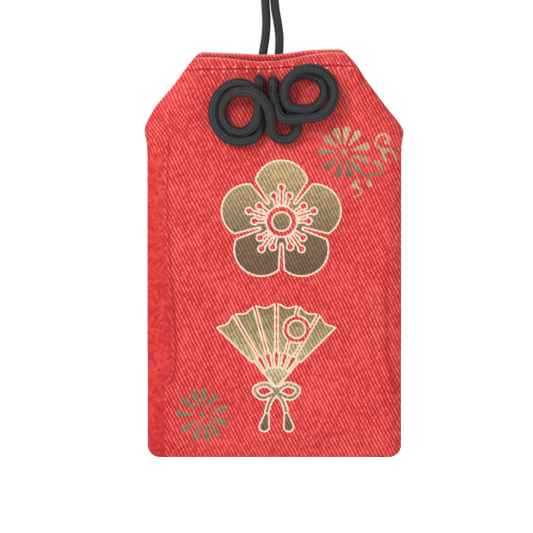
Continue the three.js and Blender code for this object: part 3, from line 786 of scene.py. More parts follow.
def stands_out(drop, everywhere, above, bulges):
    """How far a side stands out at a drop."""
    upper, end, run = above
    out = everywhere + upper * (1 - onset(drop, end, run))
    return sum((height * gauss(drop - middle, width) for height, middle, width in bulges), out)


def leaned(x, drop):
    """The left shoulder stands out further than the right one, whose upper end is drawn in."""
    share = x / half_width(drop)
    return x - stands_out(drop, *LEFT_SIDE) * smooth(-share) + stands_out(drop, *RIGHT_SIDE) * smooth(share)


def surface(x, drop, side, depth):
    """Points of the pouch at some depths from its middle plane, on the front or the back."""
    return np.stack([leaned(x, drop), side * depth, -drop], axis=1)


def spread_out(shares, drop, top, side, margin=0.0):
    """The x, the true drop and the corner's inset of the points at some shares of a panel's width."""
    inset = corner_inset(drop - top, side)
    down = drop
    for _ in range(3):
        x = shares * (half_width(down) - inset - margin)
        down = sagged(x, drop, top, side)
    return x, down, inset


def fine_shares():
    """Columns of the woven face, close together at its two sides."""
    edge = [1 - step / HALF_WIDTH for step in EDGE_STEPS]
    inner = np.linspace(-edge[-1], edge[-1], FINE_COLUMNS)
    return np.concatenate([[-s for s in edge[:-1]], inner, edge[-2::-1]])


def fine_drops(top):
    """Rows of the woven face, close together at its folded edge, its hem's seam and its bottom."""
    fold, line = top + np.array(FOLD_ROWS), top + HEM_LINE + np.array(HEM_ROWS)
    bottom = HEIGHT - np.array(EDGE_STEPS[::-1])

    def between(start, end):
        return np.linspace(start, end, max(round((end - start) / ROW_STEP), 2) + 1)[1:-1]

    return np.concatenate([fold, between(fold[-1], line[0]), line, between(line[-1], bottom[0]), bottom])


def grid_faces(count, first=0):
    """The faces of a grid with a count of rows and columns."""
    rows, columns = count
    row, column = np.meshgrid(np.arange(rows - 1), np.arange(columns - 1), indexing="ij")
    a = (first + row * columns + column).ravel()
    return np.stack([a, a + 1, a + columns + 1, a + columns], axis=1).tolist()


def grid_rim(count, first=0):
    """The vertices round a grid's edge, in order."""
    grid = first + np.arange(count[0] * count[1]).reshape(count)
    return [*grid[0], *grid[1:, -1], *grid[-1, -2::-1], *grid[-2:0:-1, 0]]


def zipped(first_rim, second_rim, points):
    """Triangles between two closed rims that start at the same corner."""
    rims, steps = (first_rim, second_rim), []
    for which, rim in enumerate(rims):
        run = run_along(points[[*rim, rim[0]]][:, [0, 2]])
        steps += [(share, which) for share in run[1:] / run[-1]]
    reached = [0, 0]
    faces = []
    for _, which in sorted(steps):
        a, b = (rim[count % len(rim)] for rim, count in zip(rims, reached))
        reached[which] += 1
        faces.append((a, rims[which][reached[which] % len(rims[which])], b))
    return faces


def shell(name, first, first_count, second, second_count):
    """A closed mesh of two grids of points and a strip between their edges."""
    points = np.vstack([first, second])
    faces = grid_faces(first_count) + grid_faces(second_count, len(first))
    faces += zipped(grid_rim(first_count), grid_rim(second_count, len(first)), points)
    return mesh_from(name, at_pouch(points), faces)


def folded_in(below):
    """How far the cloth has turned inwards at a way below its folded edge, from 1 to 0."""
    return 1 - np.sqrt(1 - (1 - np.clip(below / FOLD_RUN, 0, 1)) ** 2)


def outer_face(side, top):
    """The woven face of a panel: its points, its rows and columns, its weave's place and its values."""
    shares, drops = fine_shares(), fine_drops(top)
    drop = np.repeat(drops, len(shares))
    x, down, inset = spread_out(np.tile(shares, len(drops)), drop, top, side)
    u, below = x * -side, drop - top
    deep, painted_fold_shade = creases(x, down, side)
    seam = seam_distance(x, down, inset)
    open_cloth = smooth(seam / OPEN_SIDE) * smooth(below / OPEN_TOP)
    hem = gauss(below - HEM_LINE, HEM_GROOVE_WIDTH) * smooth(seam / HEM_END)
    band = HEM_BAND * smooth((top + HEM_LINE - drop) / HEM_BAND_RUN) * open_cloth
    slack = smooth((fold_place(down, LEFT_FOLD) - SLACK_START - u) / SLACK_RUN)
    slack = slack * onset(down, *SLACK_ONSET) * (side < 0)
    ridges = twill(u + weave_wander(u, -down), -down) - 0.5
    relief = TWILL_RELIEF * ridges * open_cloth * (1 - SLACK_FLAT * slack)
    depth = face_depth(x, down, inset) - deep * open_cloth + band + relief
    depth = np.maximum(depth - CLOTH * folded_in(below) - HEM_GROOVE * hem, SEAM_GROOVE)
    values = {}
    if side < 0:
        values["gold"] = closeness(printed_gold(x, down))
        values["flowers"] = closeness(printed_flowers(x, down))
        values["bronze"] = bronze_share(x, down)
    values["slack"] = slack
    # Painted highlight along the folded edge, stronger on its upturned rim
    values["lit"] = 1 - smooth(below / FOLD_LIGHT) + EDGE_LIGHT * gauss(below, EDGE_LIGHT_WIDTH)
    # Painted shade in the folds, and along the hem's seam, whose dark line is partly its stitched thread
    # and partly painted shade in its groove
    values["painted_shade"] = np.clip(painted_fold_shade * open_cloth + hem, 0, 1)
    return surface(x, down, side, depth), (len(drops), len(shares)), (u, -down), values


def inner_face(side, top):
    """The plain inner face of a panel, with its hem: the same four things as for the outer one."""
    shares = np.array([-s for s in INNER_SHARES] + [0, *INNER_SHARES[::-1]])
    drops = np.array([top + step for step in INNER_ROWS] + INNER_DROPS)
    drop = np.repeat(drops, len(shares))
    x, down, inset = spread_out(np.tile(shares, len(drops)), drop, top, side, INNER_MARGIN)
    layers = np.where(drop < top + HEM_DEPTH + HEM_LAP, 2, 1)
    depth = cloth_depth(x, down, side, inset) - CLOTH * layers
    depth = np.maximum(depth + (CLOTH - RIM_GAP) * folded_in(drop - top), SEAM_GROOVE)
    points = surface(x, down, side, depth)
    # Painted highlight at the inner face's folded top, and painted shade in the band below it, where the
    # other panel's edge shades it
    values = {
        "lit": 1 - smooth((drop - top) / INNER_LIGHT),
        "painted_shade": MOUTH_SHADE * onset(drop - top, *MOUTH_ONSET),
    }
    weave = points[:, 0] * -side, down - 2 * line_drop(x, MOUTH_LINES[side])
    return points, (len(drops), len(shares)), weave, values


def panel(name, side, top):
    """A cloth panel as a closed shell: its woven outer face and a plain inner one, folded at the mouth."""
    outer, outer_count, outer_weave, values = outer_face(side, top)
    inner, inner_count, inner_weave, inner_values = inner_face(side, top)
    mesh = shell(name, outer, outer_count, inner, inner_count)
    for value, numbers in values.items():
        set_values(mesh, value, np.concatenate([numbers, inner_values.get(value, np.zeros(len(inner)))]))
    across, up = (np.concatenate(pair) for pair in zip(outer_weave, inner_weave))
    set_uv(mesh, "weave", np.stack([across + weave_wander(across, up), up], axis=1))
    return with_holes(add_object(name, mesh), side)


ROUND_TO_Y = Vector((0, 0, 1)).rotation_difference(Vector((0, 1, 0))).to_matrix()
HOLE_SIDES = 24
CUTTER_LENGTH = 8


def with_holes(piece, side):
    """The two holes that the cord goes through."""
    cutter_mesh = bpy.data.meshes.new("cutter")
    work = bmesh.new()
    sizes = {"radius1": HOLE_RADIUS * MM, "radius2": HOLE_RADIUS * MM, "depth": CUTTER_LENGTH * MM}
    for x, drop in holes_of(side):
        made = bmesh.ops.create_cone(work, cap_ends=True, segments=HOLE_SIDES, **sizes)
        bmesh.ops.rotate(work, verts=made["verts"], matrix=ROUND_TO_Y)
        bmesh.ops.translate(work, verts=made["verts"], vec=at_pouch([x, 0, -drop]))
    work.to_mesh(cutter_mesh)
    work.free()
    cutter = add_object("cutter", cutter_mesh)
    cut = piece.modifiers.new("holes", "BOOLEAN")
    cut.object = cutter
    cut.operation = "DIFFERENCE"
    cut.solver = "FAST"
    finished(piece)
    bpy.data.objects.remove(cutter)
    return piece


LINING_ROWS, LINING_COLUMNS = 81, 61
LINING_TOP, LINING_BOTTOM = 0.8, 2.2
LINING_THICKNESS, LINING_GAP = 0.22, 0.08
# It stands further in at the shoulders, where the lifted board comes close
SHOULDER_MARGIN, MARGIN_CHANGE, MARGIN_ONSET = 3.9, 1.7, (13, 5)


def lining(name, side, top):
    """The pressed interlining behind a panel."""
    shares = np.linspace(-1, 1, LINING_COLUMNS)
    drops = np.linspace(top + HEM_DEPTH + LINING_TOP, HEIGHT - LINING_BOTTOM, LINING_ROWS)
    drop = np.repeat(drops, len(shares))
    margin = SHOULDER_MARGIN - MARGIN_CHANGE * onset(drop, *MARGIN_ONSET)
    x = np.tile(shares, len(drops)) * (half_width(np.minimum(drop, HEIGHT - BOTTOM_CORNER)) - margin)
    down = sagged(x, drop, top, side)
    depth = cloth_depth(x, down, side) - CLOTH - LINING_GAP
    layers = [surface(x, down, side, d) for d in (depth, depth - LINING_THICKNESS)]
    count = len(drops), len(shares)
    return with_holes(add_object(name, shell(name, layers[0], count, layers[1], count)), side)


# Node trees


class Flow:
    """A value that flows between nodes, so that a formula of it makes the nodes it needs."""

    def __init__(self, graph, socket):
        self.graph = graph
        self.socket = socket

    def to(self, operation, *others):
        return self.graph.math(operation, self, *others)

    def __add__(self, other):
        return self.to("ADD", other)

    def __sub__(self, other):
        return self.to("SUBTRACT", other)

    def __mul__(self, other):
        return self.to("MULTIPLY", other)

    def __truediv__(self, other):
        return self.to("DIVIDE", other)

    def __pow__(self, other):
        return self.to("POWER", other)


class Graph:
    """A node tree under construction."""

    def __init__(self, tree):
        self.nodes = tree.nodes
        self.links = tree.links

    def put(self, socket, value):
        """Links a flow or another socket to a socket, or sets it to a plain value."""
        value = getattr(value, "socket", value)
        if hasattr(value, "is_linked"):
            self.links.new(value, socket)
        else:
            socket.default_value = value

    def node(self, kind, inputs=(), **settings):
        made = self.nodes.new(kind)
        for setting, value in settings.items():
            setattr(made, setting, value)
        for socket, value in dict(inputs).items():
            self.put(made.inputs[socket], value)
        return made

    def flow(self, kind, output, inputs=(), **settings):
        """One output of a new node."""
        return Flow(self, self.node(kind, inputs, **settings).outputs[output])

    def math(self, operation, *values):
        return self.flow("ShaderNodeMath", 0, enumerate(values), operation=operation)

    def seen(self, *kinds):
        """1 for the kinds of rays that show a thing, and 0 for those that only light others."""
        rays = self.node("ShaderNodeLightPath").outputs
        share = Flow(self, rays["Is Camera Ray"])
        for kind in kinds:
            share = share.to("MAXIMUM", rays[f"Is {kind} Ray"])
        return share


STITCH_RINGS, STITCH_SEGMENTS, STITCH_SEED = 6, 8, 7
STITCH_LEAN = 0.16


def stitch_tree():
    """Short threads set across a line, each a little out of true."""
    tree = bpy.data.node_groups.new("stitches", "GeometryNodeTree")
    for name in ("Geometry", "Pitch", "Length", "Thickness", "Turn", "Thread"):
        kind = {"Geometry": "Geometry", "Thread": "Material"}.get(name, "Float")
        tree.interface.new_socket(name, in_out="INPUT", socket_type=f"NodeSocket{kind}")
    tree.interface.new_socket("Geometry", in_out="OUTPUT", socket_type="NodeSocketGeometry")
    graph = Graph(tree)
    start = graph.node("NodeGroupInput").outputs
    line = graph.flow("GeometryNodeMeshToCurve", "Curve", {"Mesh": start["Geometry"]})
    places = {"Curve": line, "Length": start["Pitch"]}
    points = graph.node("GeometryNodeCurveToPoints", places, mode="LENGTH").outputs
    sphere = {"Segments": STITCH_SEGMENTS, "Rings": STITCH_RINGS, "Radius": 0.5}
    ball = graph.flow("GeometryNodeMeshUVSphere", "Mesh", sphere)
    size = {"X": start["Thickness"], "Y": start["Thickness"], "Z": start["Length"]}
    size = graph.flow("ShaderNodeCombineXYZ", 0, size)
    thread = graph.flow("GeometryNodeTransform", 0, {"Geometry": ball, "Scale": size})
    thread = graph.flow("GeometryNodeSetShadeSmooth", 0, {"Geometry": thread})
    limits = {"Min": -STITCH_LEAN, "Max": STITCH_LEAN, "Seed": STITCH_SEED}
    lean = graph.flow("FunctionNodeRandomValue", "Value", limits, data_type="FLOAT")
    spin = {"Axis": (0, 1, 0), "Angle": lean + start["Turn"]}
    spin = graph.flow("FunctionNodeAxisAngleToRotation", 0, spin)
    along = {"Vector": points["Tangent"]}
    along = graph.flow("FunctionNodeAlignRotationToVector", 0, along, axis="Z")
    turn = {"Rotation": along, "Rotate By": spin}
    turn = graph.flow("FunctionNodeRotateRotation", 0, turn, rotation_space="LOCAL")
    threads = {"Points": points["Points"], "Instance": thread, "Rotation": turn}
    threads = graph.flow("GeometryNodeInstanceOnPoints", 0, threads)
    threads = graph.flow("GeometryNodeRealizeInstances", 0, {"Geometry": threads})
    dyed = {"Geometry": threads, "Material": start["Thread"]}
    graph.node("NodeGroupOutput", {"Geometry": graph.flow("GeometryNodeSetMaterial", 0, dyed)})
    return tree


# Materials


def tone(red, green, blue):
    """A colour as it shows on a screen, from 0 to 255, as light."""
    parts = [c / 255 for c in (red, green, blue)]
    return [p / 12.92 if p <= 0.04045 else ((p + 0.055) / 1.055) ** 2.4 for p in parts] + [1]


def tones(*rows):
    """The stops of a ramp, from rows of a place and a colour as it shows on a screen."""
    return [(place, tone(*colour)) for place, *colour in rows]


class Finish(Graph):
    """A material under construction."""

    def __init__(self, name, roughness, **sockets):
        self.material = bpy.data.materials.new(name)
        self.material.use_nodes = True
        super().__init__(self.material.node_tree)
        self.shader = self.nodes["Principled BSDF"]
        self.shader.inputs["Roughness"].default_value = roughness
        for socket, value in sockets.items():
            self.shader.inputs[socket.replace("_", " ")].default_value = value

    def blend(self, share, first, second, kind="MIX"):
        inputs = {0: share, 6: first, 7: second}
        return self.flow("ShaderNodeMix", 2, inputs, data_type="RGBA", blend_type=kind)

    def step(self, value, middle, half):
        """A soft step from 0 to 1 within a half-width of the middle."""
        inputs = {"Value": value, "From Min": middle - half, "From Max": middle + half}
        return self.flow("ShaderNodeMapRange", "Result", inputs, interpolation_type="SMOOTHSTEP")

    def attribute(self, name):
        return self.flow("ShaderNodeAttribute", "Fac", attribute_name=name)

    def uv(self, name):
        place = {0: self.flow("ShaderNodeUVMap", 0, uv_map=name)}
        split = self.node("ShaderNodeSeparateXYZ", place).outputs
        return Flow(self, split[0]), Flow(self, split[1])

    def place(self, stretch):
        """The object's own coordinates in millimetres, stretched along its three axes."""
        inputs = {0: self.flow("ShaderNodeTexCoord", "Object"), "Scale": [s / MM for s in stretch]}
        return self.flow("ShaderNodeMapping", 0, inputs)

    def point(self, x, y, z=0.0):
        return self.flow("ShaderNodeCombineXYZ", 0, {"X": x, "Y": y, "Z": z})

    def noise(self, place, scale, detail, roughness=0.5):
        inputs = {"Vector": place, "Scale": scale, "Detail": detail, "Roughness": roughness}
        return self.flow("ShaderNodeTexNoise", "Fac", inputs)

    def chance(self, first, second):
        """A number from 0 to 1 that differs for each pair of whole numbers."""
        place = {"Vector": self.point(first, second)}
        return self.flow("ShaderNodeTexWhiteNoise", "Value", place, noise_dimensions="2D")

    def ramp(self, value, stops):
        made = self.node("ShaderNodeValToRGB", {"Fac": value})
        while len(made.color_ramp.elements) < len(stops):
            made.color_ramp.elements.new(0.5)
        for element, (place, colour) in zip(made.color_ramp.elements, stops):
            element.position = place
            element.color = colour
        return made.outputs["Color"]

    def bump(self, height, distance, strength):
        inputs = {"Height": height, "Distance": distance * MM, "Strength": strength}
        self.put(self.shader.inputs["Normal"], self.flow("ShaderNodeBump", "Normal", inputs))

    def colour(self, value):
        self.put(self.shader.inputs["Base Color"], value)
        return self.material


CLOTH_TONES = tones((0.12, 156, 8, 16), (0.38, 191, 27, 31), (0.62, 217, 60, 59), (0.92, 248, 113, 106))
# Painted highlight at the folded edges: its tone and how far it goes
PAINTED_HIGHLIGHT_TONE, PAINTED_HIGHLIGHT_SHARE = tone(255, 170, 158), 0.42
# Painted shade in the folds, the hem's groove, round the holes, in the tucks and below the mouth: its tone
# and how far it goes
PAINTED_SHADE_TONE, PAINTED_SHADE_SHARE = tone(162, 5, 12), 0.88
# The cord's tones, set by its plait's relief: painted shade in the grooves and a painted highlight on the
# strands' crowns
CORD_TONES = tones((0.15, 4, 4, 5), (0.55, 20, 22, 23), (1.0, 64, 68, 70))
# The gold's tones down the face, at rows of the picture
GOLD_TONES = tones(
    (158, 205, 180, 130), (200, 170, 145, 105), (240, 125, 98, 72), (285, 105, 82, 62), (305, 140, 118, 78),
    (345, 190, 168, 120), (370, 215, 198, 150), (400, 140, 118, 90), (431, 110, 88, 66),
)
IVORY = tone(235, 212, 189)
PALE_BRONZE, DARK_BRONZE = tone(212, 180, 140), tone(128, 103, 84)
OUTLINE_WIDTH = 0.34
GOLD_EDGE, SOFT_EDGE = 0.05, 0.06
CLOTH_ROUGHNESS, PRINT_SMOOTHING = 0.62, 0.12
# The scale and detail of two noises, and how much the tone of the cloth and of the print changes with each
FUZZ, MOTTLE = (5.5, 2.0), (0.11, 3.0)
# HEIGHT_TONE and PRINT_HEIGHT paint shade into the twill's grooves and a highlight onto its ridges, on the
# cloth and on the print
HEIGHT_TONE, CHANCE_TONE, FUZZ_TONE, MOTTLE_TONE, MOTTLE_MIDDLE = 0.66, 0.26, 0.22, 0.3, 0.1
PRINT_HEIGHT, PRINT_CHANCE, PRINT_LEAST = 0.85, 0.3, 0.31


def ridged(ridge):
    return (ridge * (2 * pi)).to("COSINE") * -0.5 + 0.5


def twill_threads(finish, u, v):
    """The relief of the twill, whose ridges are rows of short steeper threads, and each thread's chance."""
    ridge, run = slanting(u, v, TWILL_ANGLE, TWILL_PITCH)
    number = ridge.to("FLOOR")
    wander = finish.noise(finish.point(number * 1.7, run), 0.9, 1.0) * 0.9
    along = run / THREAD_RUN + (finish.chance(number, 0.5) + wander)
    share = along.to("FRACT")
    body = (share * pi).to("SINE") * THREAD_DIP + (1 - THREAD_DIP)
    relief = ridged((share - 0.5) * THREAD_SKEW + ridge) * body
    return relief, finish.chance(number, along.to("FLOOR"))


def red_twill():
    """Red twill with printed gold, ivory outlines and bronze flowers, with painted shade in its grooves and
    folds and painted highlights on its ridges and folded edges.
    """
    sheen = {"Sheen_Weight": 0.06, "Sheen_Roughness": 0.5}
    finish = Finish("red_twill", CLOTH_ROUGHNESS, Specular_IOR_Level=0.3, **sheen)
    u, v = finish.uv("weave")
    height, chance = twill_threads(finish, u, v)
    loose = ridged(slanting(u, v, -SLACK_ANGLE, SLACK_PITCH)[0]) * 0.2 + 0.12
    height = height + finish.attribute("slack") * (loose - height)
    fuzz = finish.noise(finish.point(u, v), *FUZZ)
    mottle = finish.noise(finish.point(u, v, 2.0), *MOTTLE)
    # The twill's height paints shade into its grooves and a highlight onto its ridges
    level = height * HEIGHT_TONE + chance * CHANCE_TONE
    level = level + (mottle * MOTTLE_TONE - MOTTLE_MIDDLE) + fuzz * FUZZ_TONE
    colour = finish.ramp(level, CLOTH_TONES)
    # Painted highlight at the folded edges
    colour = finish.blend(finish.attribute("lit") * PAINTED_HIGHLIGHT_SHARE, colour, PAINTED_HIGHLIGHT_TONE)
    # Painted shade in the folds, the hem's groove, round the holes, in the tucks and below the mouth
    colour = finish.blend(finish.attribute("painted_shade") * PAINTED_SHADE_SHARE, colour, PAINTED_SHADE_TONE)

    weave = (height - 0.4) * 0.16
    gold = weave * 0.5 + finish.attribute("gold")
    start, end = GOLD_TONES[0][0], GOLD_TONES[-1][0]
    high, low = spot(0, start)[1], spot(0, end)[1]
    stops = [((end - pixel) / (end - start), shade) for pixel, shade in reversed(GOLD_TONES)]
    foil = finish.ramp((v + low) / (low - high), stops)
    # The print gets the same painted shade in the twill's grooves, and each thread's own tone
    threaded = height * PRINT_HEIGHT + (chance * PRINT_CHANCE + PRINT_LEAST)
    threaded = finish.point(threaded, threaded, threaded)
    foil = finish.blend(1.0, foil, threaded, "MULTIPLY")
    foil = finish.blend(finish.step(gold, 1 + OUTLINE_WIDTH, SOFT_EDGE), IVORY, foil)
    on_gold = finish.step(gold, 1, GOLD_EDGE)
    colour = finish.blend(on_gold, colour, foil)

    on_flowers = finish.step(weave * 0.6 + finish.attribute("flowers"), 1, SOFT_EDGE)
    bronze = finish.blend(finish.attribute("bronze"), PALE_BRONZE, DARK_BRONZE)
    bronze = finish.blend(1.0, bronze, threaded, "MULTIPLY")
    colour = finish.blend(on_flowers, colour, bronze)
    printed_share = on_gold.to("MAXIMUM", on_flowers)
    finish.put(finish.shader.inputs["Roughness"], printed_share * -PRINT_SMOOTHING + CLOTH_ROUGHNESS)
    finish.bump(fuzz * 0.25 + height, 0.06, 0.8)
    return finish.colour(colour)


def black_cord():
    """Black braided cord, whose strands follow the plait of its mesh, with painted shade in the plait's
    grooves and a painted highlight on its crowns.
    """
    sheen = {"Sheen_Weight": 0.12, "Sheen_Roughness": 0.35}
    finish = Finish("black_cord", 0.55, Specular_IOR_Level=0.35, **sheen)
    turn, run = finish.uv("plait")
    column = turn * float(PLAIT_COLUMNS)
    share = column.to("FRACT")
    odd = column.to("FLOOR").to("MODULO", 2.0)
    lean = (share - 0.5) * (odd * -2.0 + 1.0)
    along = run * (1 / PLAIT_PITCH) + (lean * PLAIT_LEAN + odd * 0.5)
    strands = (along * pi).to("SINE").to("ABSOLUTE") ** STRAND_ROUNDNESS
    relief = strands * (share * pi).to("SINE") ** COLUMN_ROUNDNESS
    fine = finish.noise(finish.point(column * 3.0, along * 1.5), 2.2, 2.0)
    finish.bump(fine * 0.5 + relief, 0.05, 0.8)
    # The plait's relief paints shade into its grooves and a highlight onto its crowns
    return finish.colour(finish.ramp(fine * 0.5 + relief * 0.6, CORD_TONES))


def grainy(name, roughness, noise, bump, stops, stretch=(1, 1, 1), **sockets):
    """A plain material with a grain, as its finish and its colour."""
    finish = Finish(name, roughness, **sockets)
    grain = finish.noise(finish.place(stretch), *noise)
    finish.bump(grain, *bump)
    return finish, finish.ramp(grain, stops)


def plain(name, *looks, **more):
    """A grainy material with nothing else to it."""
    finish, colour = grainy(name, *looks, **more)
    return finish.colour(colour)


def flecked_board():
    """Grey board with flecks in it."""
    finish, colour = grainy("grey_board", 0.85, (1.7, 6.0, 0.7), (0.05, 0.6), PULP_TONES)
    fleck = finish.step(finish.noise(finish.place((1, 1, 1)), 4.0, 1.0), 0.69, 0.03)
    return finish.colour(finish.blend(fleck * 0.5, colour, tone(140, 128, 108)))


THREAD_GRAIN, THREAD_BUMP = (5.0, 2.0), (0.04, 0.6)
THREAD_SHEEN = {"Sheen_Weight": 0.3, "Sheen_Roughness": 0.4}
RED_TONES = tones((0.3, 196, 52, 52), (0.7, 232, 92, 88))
# Pale tones of the hem's stitches: a painted glint on red thread
GLINT_PAINTED_TONES = tones((0.3, 246, 146, 134), (0.7, 255, 198, 184))
FELT_TONES = tones((0.3, 206, 202, 190), (0.7, 236, 233, 224))
PAPER_TONES = tones((0.3, 236, 231, 220), (0.7, 247, 244, 236))
PULP_TONES = tones((0.3, 196, 191, 176), (0.7, 222, 218, 204))
WOOD_TONES = tones((0.25, 196, 160, 110), (0.6, 224, 196, 150), (0.8, 234, 210, 168))

TWILL = red_twill()
CORD = black_cord()
THREAD = plain("red_thread", 0.45, THREAD_GRAIN, THREAD_BUMP, RED_TONES, **THREAD_SHEEN)
# The hem's stitches: red thread, pale with a painted glint
GLINT = plain("stitch_painted_glint", 0.45, THREAD_GRAIN, THREAD_BUMP, GLINT_PAINTED_TONES, **THREAD_SHEEN)
FELT = plain("white_felt", 0.9, (2.6, 6.0, 0.7), (0.08, 0.7), FELT_TONES, Sheen_Weight=0.2)
BOARD = flecked_board()
PAPER = plain("white_paper", 0.8, (3.0, 5.0, 0.65), (0.03, 0.5), PAPER_TONES)
WOOD = plain("pale_wood", 0.6, (1.0, 5.0, 0.6), (0.04, 0.5), WOOD_TONES, stretch=(2.2, 2.2, 0.09))
STITCHES = stitch_tree()


def dress(piece, material):
    piece.data.materials.clear()
    piece.data.materials.append(material)
    return piece


def declare(piece, body, slot, *nodes):
    """The piece, attached to its body if it has one, with the imported nodes that it stands for hidden. Its
    slot is not used.
    """
    if body:
        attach(piece, body)
    if nodes:
        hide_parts(*nodes)
    return piece


# The cords

FOOT_SPLIT = -9
FOOT_END_Z = -8.2
FOOT_END_DEPTH = KNOT_DEPTH + 0.1

knot_path = through(knot_route(), RING_SPACING)
KNOT_RINGS = tube_rings(knot_path, KNOT_RADIUS)
below_feet = np.nonzero(knot_path[:, 2] < FOOT_SPLIT)[0]
first_cut, last_cut = below_feet[0], below_feet[-1]


def knot_part(name, start, end):
    rings, turns, runs = (part[start : end + 1] for part in KNOT_RINGS)
    return dress(tube_piece(name, rings, turns, runs, knot_path[start : end + 1][[0, -1]], at_pouch), CORD)


def blend_point(depth, z):
    return (0, *at_pouch([0, -depth, z])[1:])


declare(knot_part("front_knot_cord", first_cut, last_cut), "knot", "black_cord", "front_knot")
foot_start, foot_end = blend_point(FACE_HALF, -FRONT_HOLES[0][1]), blend_point(FOOT_END_DEPTH, FOOT_END_Z)
for name, start, end in (("left", 0, first_cut), ("right", last_cut, len(knot_path) - 1)):
    foot = declare(knot_part(f"knot_foot_{name}", start, end), None, "black_cord")
    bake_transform(foot)

# The loop's strands, in millimetres of the frame: the x of each at the z that both share
STRAND_Z = (-57, -55.6, -53.9, -51.2, -48.4, -45.6, -42.6, -38.4, -33.4, -27.8, -22.4, -17, -12, -8, -5.2)
LEFT_X = (-1.55, -1.34, -1.06, -0.66, -0.5, -0.64, -0.82, -1.12, -1.7, -2.25, -2.5, -2.35, -1.85, -1.3, -1)
RIGHT_X = (1.7, 1.92, 2.06, 2.08, 1.72, 1.26, 1.06, 1.15, 1.65, 2.2, 2.45, 2.3, 1.8, 1.3, 1)
STRAND_BEND = 1.1
STRAND_BEND_TOP = 1.9
HEAD_X, HEAD_Z = 0.95, -2.4
HOLE_Z = MOUTH_Z - HOLE_DROP
BACK_HOLE_Y = -1.6
# Shares of the cord's way through the pouch, and the one where it has risen, to pass over the board
THROUGH_SHARES = (0, 0.1, 0.22, 0.34, 0.46, 0.6, 0.8, 1)
THROUGH_RISE = 0.62


def strand_route(across, hole):
    """Out of a back hole, round a bend and up to the end knot, through some x at the shared z."""
    x = hole + HANG_X
    points = [(x, BACK_HOLE_Y, HOLE_Z), (x, -STRAND_BEND, HOLE_Z)]
    for degrees in BEND_DEGREES:
        out, up = sin(radians(degrees)), cos(radians(degrees))
        points.append((x, -STRAND_BEND + STRAND_BEND * out, HOLE_Z + STRAND_BEND - STRAND_BEND * up))
    points += [(a, 0, z) for a, z in zip(across, STRAND_Z)]
    return points + [(copysign(HEAD_X, points[-1][0]), 0, HEAD_Z)]


def through_route(hole, front_hole):
    """From a front hole to the back one above it, square to the cloth at both."""
    x, drop = front_hole
    front = MIDDLE_Y - float(face_depth(x, drop)) + CORD_CLEARANCE
    share = np.array(THROUGH_SHARES)
    ease = smooth(share / THROUGH_RISE)
    depth = front + (BACK_HOLE_Y - front) * share
    across = x + (hole - x) * ease + HANG_X
    return np.stack([across, depth, MOUTH_Z - drop + (drop - HOLE_DROP) * ease], axis=1)


def cord_piece(name, route):
    path = through(route, RING_SPACING)
    return dress(tube_piece(name, *tube_rings(path, CORD_RADIUS), path[[0, -1]], at_frame), CORD), path


# The end knot: one strand wound round both, and two tails

WRAP_TURNS = 3.2
WRAP_STEPS = 16
WRAP_CORE = (1.25, 0.35)
WRAP_SWELL, WRAP_REACH = 0.25, 1.9
WRAP_PHASE, WRAP_SQUARENESS = 0.5, 2
WRAP_FOOT, WRAP_RISE, WRAP_TILT = -2.35, 4.9, 0.22
WRAP_START, WRAP_END = (0.4, 0.2, -2.6), (0.2, 0.3, 2.4)
# A tail leaves the wraps and leans out: x and y, the way it twists off to its side, and z
TAIL = (
    (HEAD_X, 0, 0, HEAD_Z), (HEAD_X, 0, 0, 0), (1.1, 0, 0, 2), (1.25, -0.1, 0, 3.6),
    (1.8, 0, -0.25, 6.2), (2.6, -0.1, 0, 8.8), (3.35, 0.2, 0, 11.05),
)


def wrap_route():
    """One strand, wound round the other two."""
    count = round(WRAP_TURNS * WRAP_STEPS)
    points = [WRAP_START]
    for step in range(count + 1):
        share = step / count
        angle = 2 * pi * WRAP_TURNS * share + WRAP_PHASE
        swell = CORD_RADIUS * WRAP_REACH + WRAP_SWELL * sin(pi * share)
        x = WRAP_CORE[0] * tanh(WRAP_SQUARENESS * cos(angle)) + swell * cos(angle)
        y = (WRAP_CORE[1] + swell) * sin(angle)
        points.append((x, y, WRAP_FOOT + WRAP_RISE * share + WRAP_TILT * sin(angle)))
    return points + [WRAP_END]


def joined(name, parts):
    """Several meshes as one piece."""
    for part in parts:
        part.select_set(True)
    bpy.context.view_layer.objects.active = parts[0]
    bpy.ops.object.join()
    parts[0].select_set(False)
    parts[0].name = name
    return parts[0]


bpy.ops.object.select_all(action="DESELECT")
end_parts = [cord_piece("end_knot_wraps", wrap_route())[0]]
for side in (-1, 1):
    tail = [(side * x, y + side * twist, z) for x, y, twist, z in TAIL]
    end_parts.append(cord_piece(f"tail_{side}", tail)[0])
end_knot = declare(joined("end_knot_cord", end_parts), "hanger", "black_cord", "end_knot")

for side, across, hole, front_hole in zip(("left", "right"), (LEFT_X, RIGHT_X), HOLE_X, FRONT_HOLES):
    through_cord, _ = cord_piece(f"through_cord_{side}", through_route(hole, front_hole))
    declare(through_cord, "pouch", "black_cord", f"cord_through_{side}")
    strand, path = cord_piece(f"strand_{side}", strand_route(across, hole))
    declare(strand, None, "black_cord", f"loop_strand_{side}")
    bend_x, bend_top = path[0][0] * MM, (HOLE_Z + STRAND_BEND_TOP) * MM
    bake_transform(strand)
    tuple(path[0] * MM)
    [tuple(p * MM) for p in path[::4]] + [tuple(path[-1] * MM)]

# The pouch

PANELS = (("front", -1, FRONT_DROP), ("back", 1, 0))
HEM_START_X, HEM_END_X, HEM_POINTS = -13.5, 14.6, 80
STITCH_OFFSET, STITCH_LIFT = 0.46, 0.02
STITCH_SIZES = {"Pitch": 2.2 * MM, "Length": 0.58 * MM, "Thickness": 0.34 * MM, "Turn": pi / 2}
STITCH_VALUES = STITCH_SIZES | {"Thread": GLINT}


